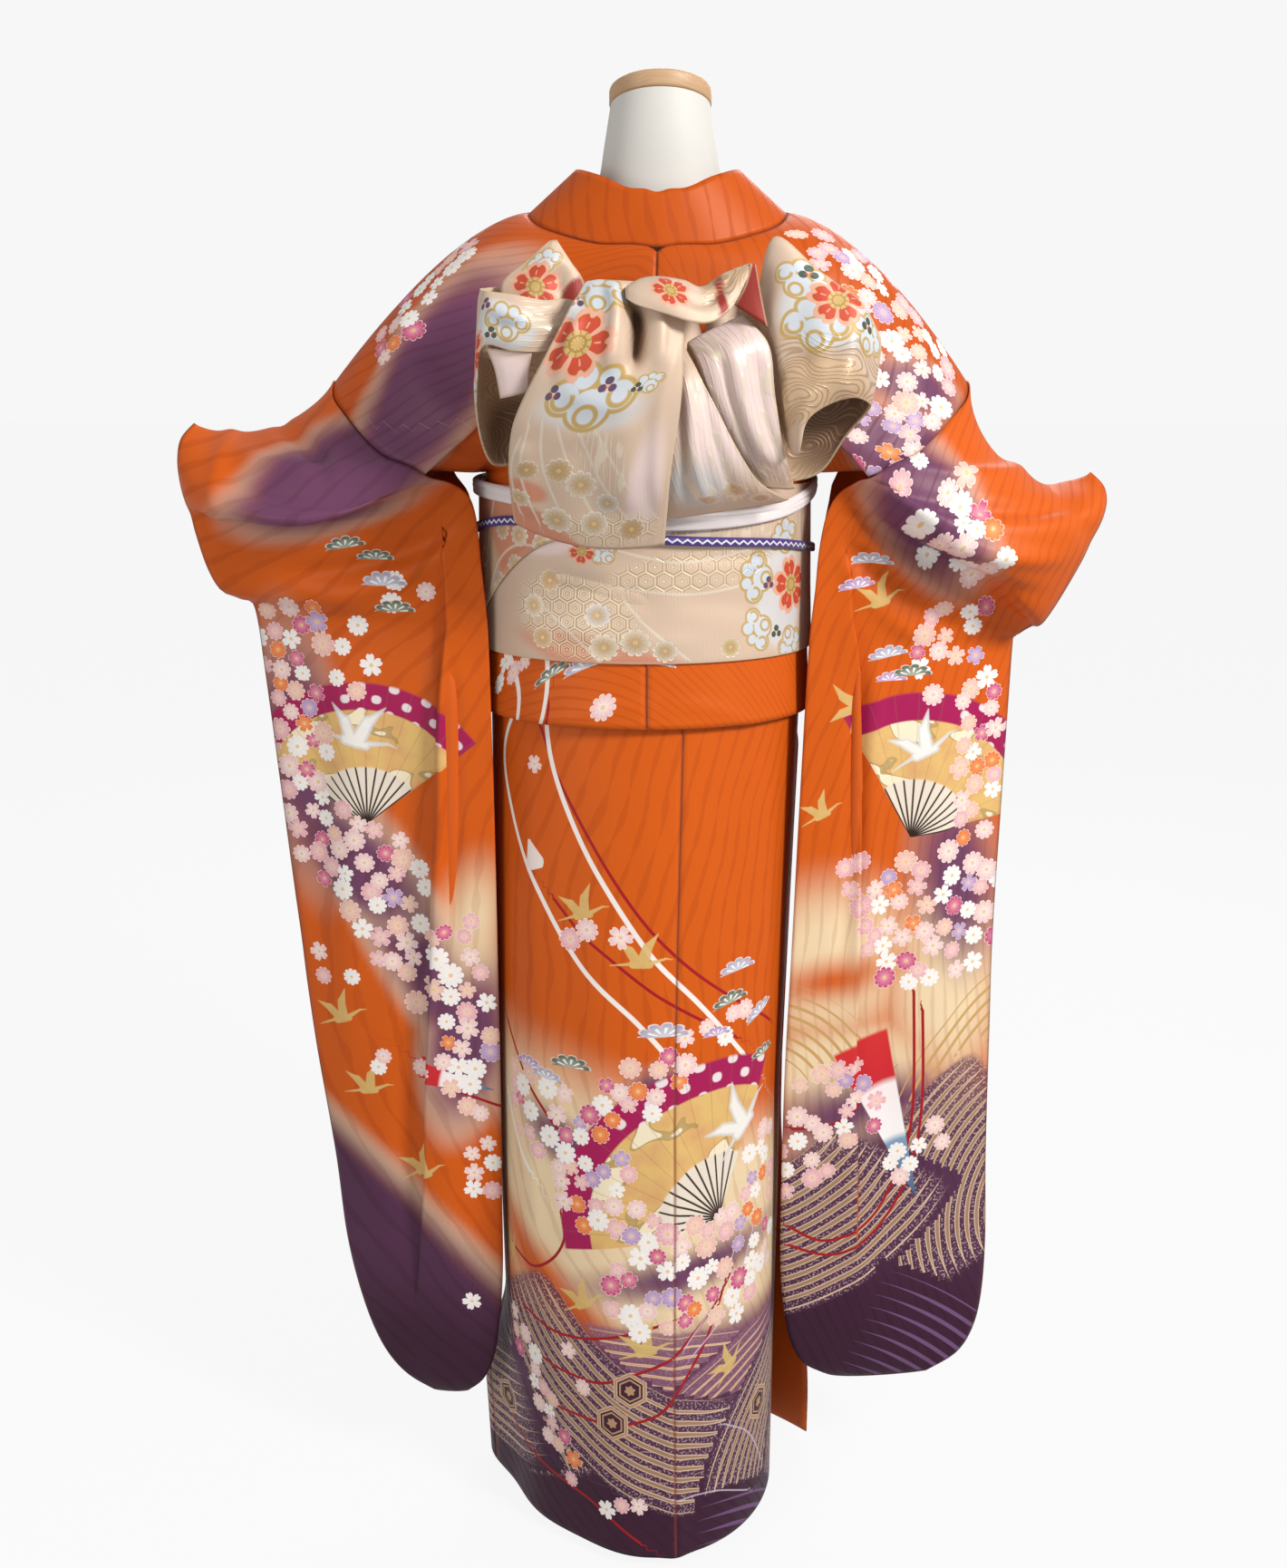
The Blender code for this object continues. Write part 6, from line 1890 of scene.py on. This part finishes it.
bowDesign = {
    "bow_flap": {
        "dyesAndShades": (
            ("silver", ((-36, 88, 30, 22, 70, 10), (-6, 175, 45, 20, 5, 14)), 0),
            ("lilac", ((50, 250, 50, 14, 95, 12), (35, 60, 30, 12, 80, 12)), 0),
            ("salmon", ((-62, 312, 85, 34, 34, 4), (-56, 260, 20, 12, 20, 6)), 0),
            # painted shade: dark brown along the deep fold's pocket and at the flap's top
            ("inside", ((14, 104, 34, 6.5, 73, 4), (0, 20, 50, 30, 0, 10)), 0),
        ),
        "hexes": ((20, 296, 45, 18, 0, 8),),
        "streaks": ((12, 225, 20, 35, -30, 6),),
        "crests": (
            crest(-8, 172, 47, 180, 2), crest(-20, 78, 32, 200, 2), crest(40, 158, 16, 150, 2),
            crest(-33, 120, 33, 195, 1), crest(-42, 160, 8.5, 180, 3), crest(4, 156, 9.5, 180, 3),
            crest(-42, 82, 8.5, 180, 3), crest(30, 160, 6, 180, 3, 0.6),
        ),
        "placed": (
            mum(-26, 236, 13.5, "gold"), mum(-6, 250, 15), mum(-28, 290, 15), mum(6, 290, 13),
            mum(-55, 236, 11, "pink"), mum(-62, 270, 11), mum(40, 296, 12.5, "pink"),
            mum(18, 268, 11, "mauve"),
        ),
        "creamLines": (
            ((-58, 186), (-60, 240), (-45, 298)), ((-46, 186), (-40, 235), (-20, 292)),
            ((-30, 194), (-12, 245), (14, 298)), ((-12, 196), (12, 245), (45, 298)),
            ((-64, 200), (-70, 240), (-62, 292)), ((4, 198), (34, 245), (60, 282)),
        ),
        "creases": (
            (4, 60, 24, 150, 0, 6.5, -19), (-10, 60, 2, 150, 2, 6, 7), (22, 60, 44, 150, 0, 6, 5),
            (-30, 60, -56, 150, 3, 5, -3), (-45, 70, -40, 160, -2, 6, 3.5), (49, 110, 66, 300, 0, 6, 3),
            (-60, 200, -50, 300, 4, 12, 3), (-10, 200, 20, 300, 4, 14, -2.4),
            (30, 180, 45, 290, 4, 12, 2.6), (-40, 150, 40, 180, 6, 10, 2.4),
        ),
    },
    "bow_loop_right": {
        "dyesAndShades": (
            ("silver", ((30, 78, 32, 45, 0, 14),), 0),
            ("gold", ((-40, 70, 30, 70, 0, 20), (0, 220, 200, 60, 0, 30)), 0),
            # painted shade: dark brown in the loop's hollow by the knot
            ("inside", ((-20, 200, 70, 50, 0, 40),), 0),
        ),
        "watered": ((-30, 80, 42, 100, 0, 20), (0, 220, 100, 80, 0, 20)),
        "crests": (
            crest(50, 52, 26, -60, 2), crest(10, 64, 36, -90, 2), crest(14, 112, 26, -80, 2),
            crest(38, 80, 24.5, -90, 1), crest(14, 64, 9.5, -90, 3, 0.6), crest(24, 108, 8.5, -90, 3, 0.6),
            crest(60, 58, 8, -90, 3, 0.6), crest(0, 230, 30, -90, 2), crest(5, 235, 20, -90, 1),
        ),
        "creases": (
            (-70, 30, 60, 20, 4, 10, 4), (-50, 60, 70, 55, -6, 12, -4), (-50, 95, 60, 90, 4, 12, 4),
            (-20, 10, 0, 120, 6, 10, -3),
        ),
    },
    "bow_loop_left": {
        "dyesAndShades": (
            ("silver", ((-4, 215, 20, 30, 0, 10),), 0),
            ("gold", ((-30, 80, 50, 60, 0, 20),), 0),
            ("inside", ((-50, 70, 40, 50, 0, 30),), 0),
        # painted shade: dark brown in the loop's hollow by the knot
        ),
        "watered": ((-30, 80, 80, 80, 0, 20),),
        "streaks": ((0, 250, 50, 20, 0, 10),),
        "crests": (
            crest(-4, 220, 24, -90, 2), crest(-40, 168, 24, -90, 2), crest(-18, 180, 20, -90, 1),
            crest(-12, 206, 6.5, -90, 3, 0.6), crest(12, 200, 6, -90, 3),
        ),
        "creases": ((16, 190, -8, 280, 3, 6, 3), (-12, 200, 12, 285, -2, 6, -3)),
    },
    "bow_fold_left": {"dyesAndShades": (("lilac", ((0, 20, 30, 20, 0, 20),), 0),)},
    "bow_corner_left": {
        "dyesAndShades": (
            ("lining", ((26, 46, 22, 10, 60, 3),), 0),
            ("gold", ((-10, 20, 50, 15, 0, 20),), 0),
        ),
        "crests": (crest(-2, 76, 18, 20, 2, 0.2), crest(-6, 56, 24, 0, 1)),
        "goldLines": (((-22, 62), (-14, 84), (4, 86), (2, 74)),),
        "creases": ((-30, 10, 10, 90, 3, 8, 3), (20, 10, 12, 80, 0, 6, -4)),
    },
    "bow_roll": {
        "dyesAndShades": (
            ("gold", ((-10, 98, 30, 14, 80, 10),), 0),
            ("lining", ((23, 85, 60, 5, -8, 2),), 0),
        ),
        "watered": ((-10, 98, 30, 30, 0, 10),),
        "crests": (crest(0, 40, 19, 180, 1),),
        "creases": ((-10, 20, 0, 100, 3, 7, 3), (10, 50, -10, 110, -2, 5, -3)),
    },
    "bow_peak": {"dyesAndShades": (("lining", ((0, 20, 50, 50, 0, 10),), 0),)},
    "bow_pleat_inner": {
        "dyesAndShades": (("lilac", ((0, 60, 60, 90, 0, 50),), 0),),
        "streaks": ((0, 70, 100, 100, 0, 10),),
        "creases": ((0, 10, 6, 150, 4, 6, 4), (20, 30, 14, 140, 2, 5, -4), (-12, 20, -6, 140, 2, 4, -3)),
    },
    "bow_pleat_outer": {
        "dyesAndShades": (
            ("lilac", ((10, 90, 30, 50, 0, 50),), 0),
            ("silver", ((-20, 140, 30, 30, 0, 30),), 0),
        ),
        "streaks": ((0, 70, 100, 100, 0, 10),),
        "placed": (mum(17, 150, 13), mum(-10, 158, 11, "mauve"), mum(36, 170, 11)),
        "creases": (
            (0, 10, -10, 180, 4, 6, 3.6), (8, 20, 20, 180, 2, 6, -3), (-10, 40, -30, 170, 0, 5, -3),
        ),
    },
}


def makeBow():
    for name, folds in bowStrips.items():
        folds = np.array(folds) / perMetre
        edges = folds[:, 0:3] + folds[:, 3:6]
        rows = evenRows(lambda row: along(edges, row) / 2, (0, len(folds) - 1), bow["spacing"])
        table = along(folds, rows)
        first, second, swelling = table[:, None, 0:3], table[:, None, 3:6], table[:, 6:7]
        wide = np.linalg.norm(second - first, axis=2).max()
        share = np.linspace(0, 1, max(6, int(wide / bow["spacing"])))[None, :]
        points = first + (second - first) * share[..., None]
        points[:, :, 1] -= swelling * 4 * share * (1 - share)
        if name == "bow_flap":
            low = smoothStep((rows[:, None] - bow["dropFrom"]) / bow["dropOver"])
            points[:, :, 2] -= bow["flapDrop"] * low * np.sin(math.pi * np.clip(share * 0.9 + 0.12, 0, 1))
        quads = gridQuads(*points.shape[:2], flip=name not in bow["frontFirst"])
        u, v = arcLengths(points)
        flat = np.stack([u - u[:, -1:] / 2, v[:, v.shape[1] // 2, None] + 0 * u], axis=-1)
        edge = np.minimum(u, u[:, -1:] - u)
        normals = pointNormals(points, quads)
        points = points - normals * (bow["curl"] * np.exp(-((edge / bow["curlWidth"]) ** 2)))[..., None]
        piece = clothPiece(name, sashCloth, points, normals, quads, flat, edge, bowDesign[name], 0)
        giveWall(piece, bow["cloth"], 0.0)
    knot = ovalRings(bowKnot, 25, 48)
    mesh = stackMesh("bow_knot_cloth", knot)
    addValues(mesh, "POINT", {
        "flat": knot[..., (0, 2, 2)],
        "dye": np.zeros_like(knot) + dyesAndShades["champagne"],
        "cords": np.full(knot.shape, 9.0),
    })
    addPiece("bow_knot_cloth", mesh, brocade, ["bow_knot"])
    print("bow")


makeBow()

# Dress form

form = {
    "tilt": math.radians(15),
    "capGap": 0.0003,
    "capOverhang": 0.001,
    "capSlices": ((0, 2.0), (1, 0.4), (2, 0), (12.5, 0), (14.5, 0.8), (16, 3)),  # millimetres up, set in by
}
torso = np.array((  # z, x, y, half width, half depth
    (720, -6, -2, 115, 85),
    (745, -6, -3, 134, 100),
    (850, -6, -4, 143, 106),
    (960, -5.7, -5.8, 151.2, 116.6),
    (1030, -5.5, -4.5, 149, 113),
    (1100, -5, -4, 146, 106),
    (1200, -3, -4, 150, 100),
    (1280, 1, -3, 158, 83),
    (1325, 4, -4, 152, 66),
    (1352, 5, -5, 122, 54),
    (1370, 6, -5, 92, 50),
    (1388, 7, -4, 72, 50),
    (1412, 8, -4, 60, 50),
    (1445, 8, -6, 53.5, 50),
    (1480, 8, -8, 47.5, 46),
)) / perMetre


def makeForm():
    skin = Finish("form_skin", {
        "Base Color": (0.64, 0.62, 0.57, 1), "Roughness": 0.55, "Specular IOR Level": 0.3,
    })
    skin.bump(skin.noise(skin.objectPlace(), 300.0, 2.0), 0.08, 0.0005)
    mesh = stackMesh("form_torso_skin", ovalRings(torso, 90, 72, form["tilt"]))
    addPiece("form_torso_skin", mesh, skin, ["form_torso"])
    z, x, y, wide, deep = torso[-1]
    rings = []
    for rise, inset in np.array(form["capSlices"]) / perMetre:
        out = form["capOverhang"] - inset
        section = np.array([(z + form["capGap"] + rise, x, y, wide + out, deep + out)] * 2)
        rings.append(ovalRings(section, 2, 72, form["tilt"])[0])
    wood = Finish("light_wood", {"Roughness": 0.45, "Specular IOR Level": 0.4})
    x, y, z = wood.split(wood.objectPlace())
    ring = (wood.noise(wood.vector(x * 0.4, y * 3.0, z * 6.0), 14.0, 2.0) * 9 + z * 260).fraction()
    wood.feed("Base Color", wood.mix(ring * 0.6, (0.56, 0.36, 0.20), (0.44, 0.25, 0.12)))
    wood.bump(ring, 0.15, 0.0005)
    addPiece("form_cap_wood", stackMesh("form_cap_wood", np.array(rings)), wood, ["form_cap"])
    metal = Finish("painted_steel", {
        "Base Color": (0.035, 0.034, 0.033, 1), "Roughness": 0.38, "Metallic": 0.6,
    })
    metal.bump(metal.noise(metal.objectPlace(), 500.0, 2.0), 0.06, 0.0003)
    for name in ("form_pole", "form_base"):
        for slot in bpy.data.objects[name].material_slots:
            slot.material = metal.material
    print("form")


makeForm()
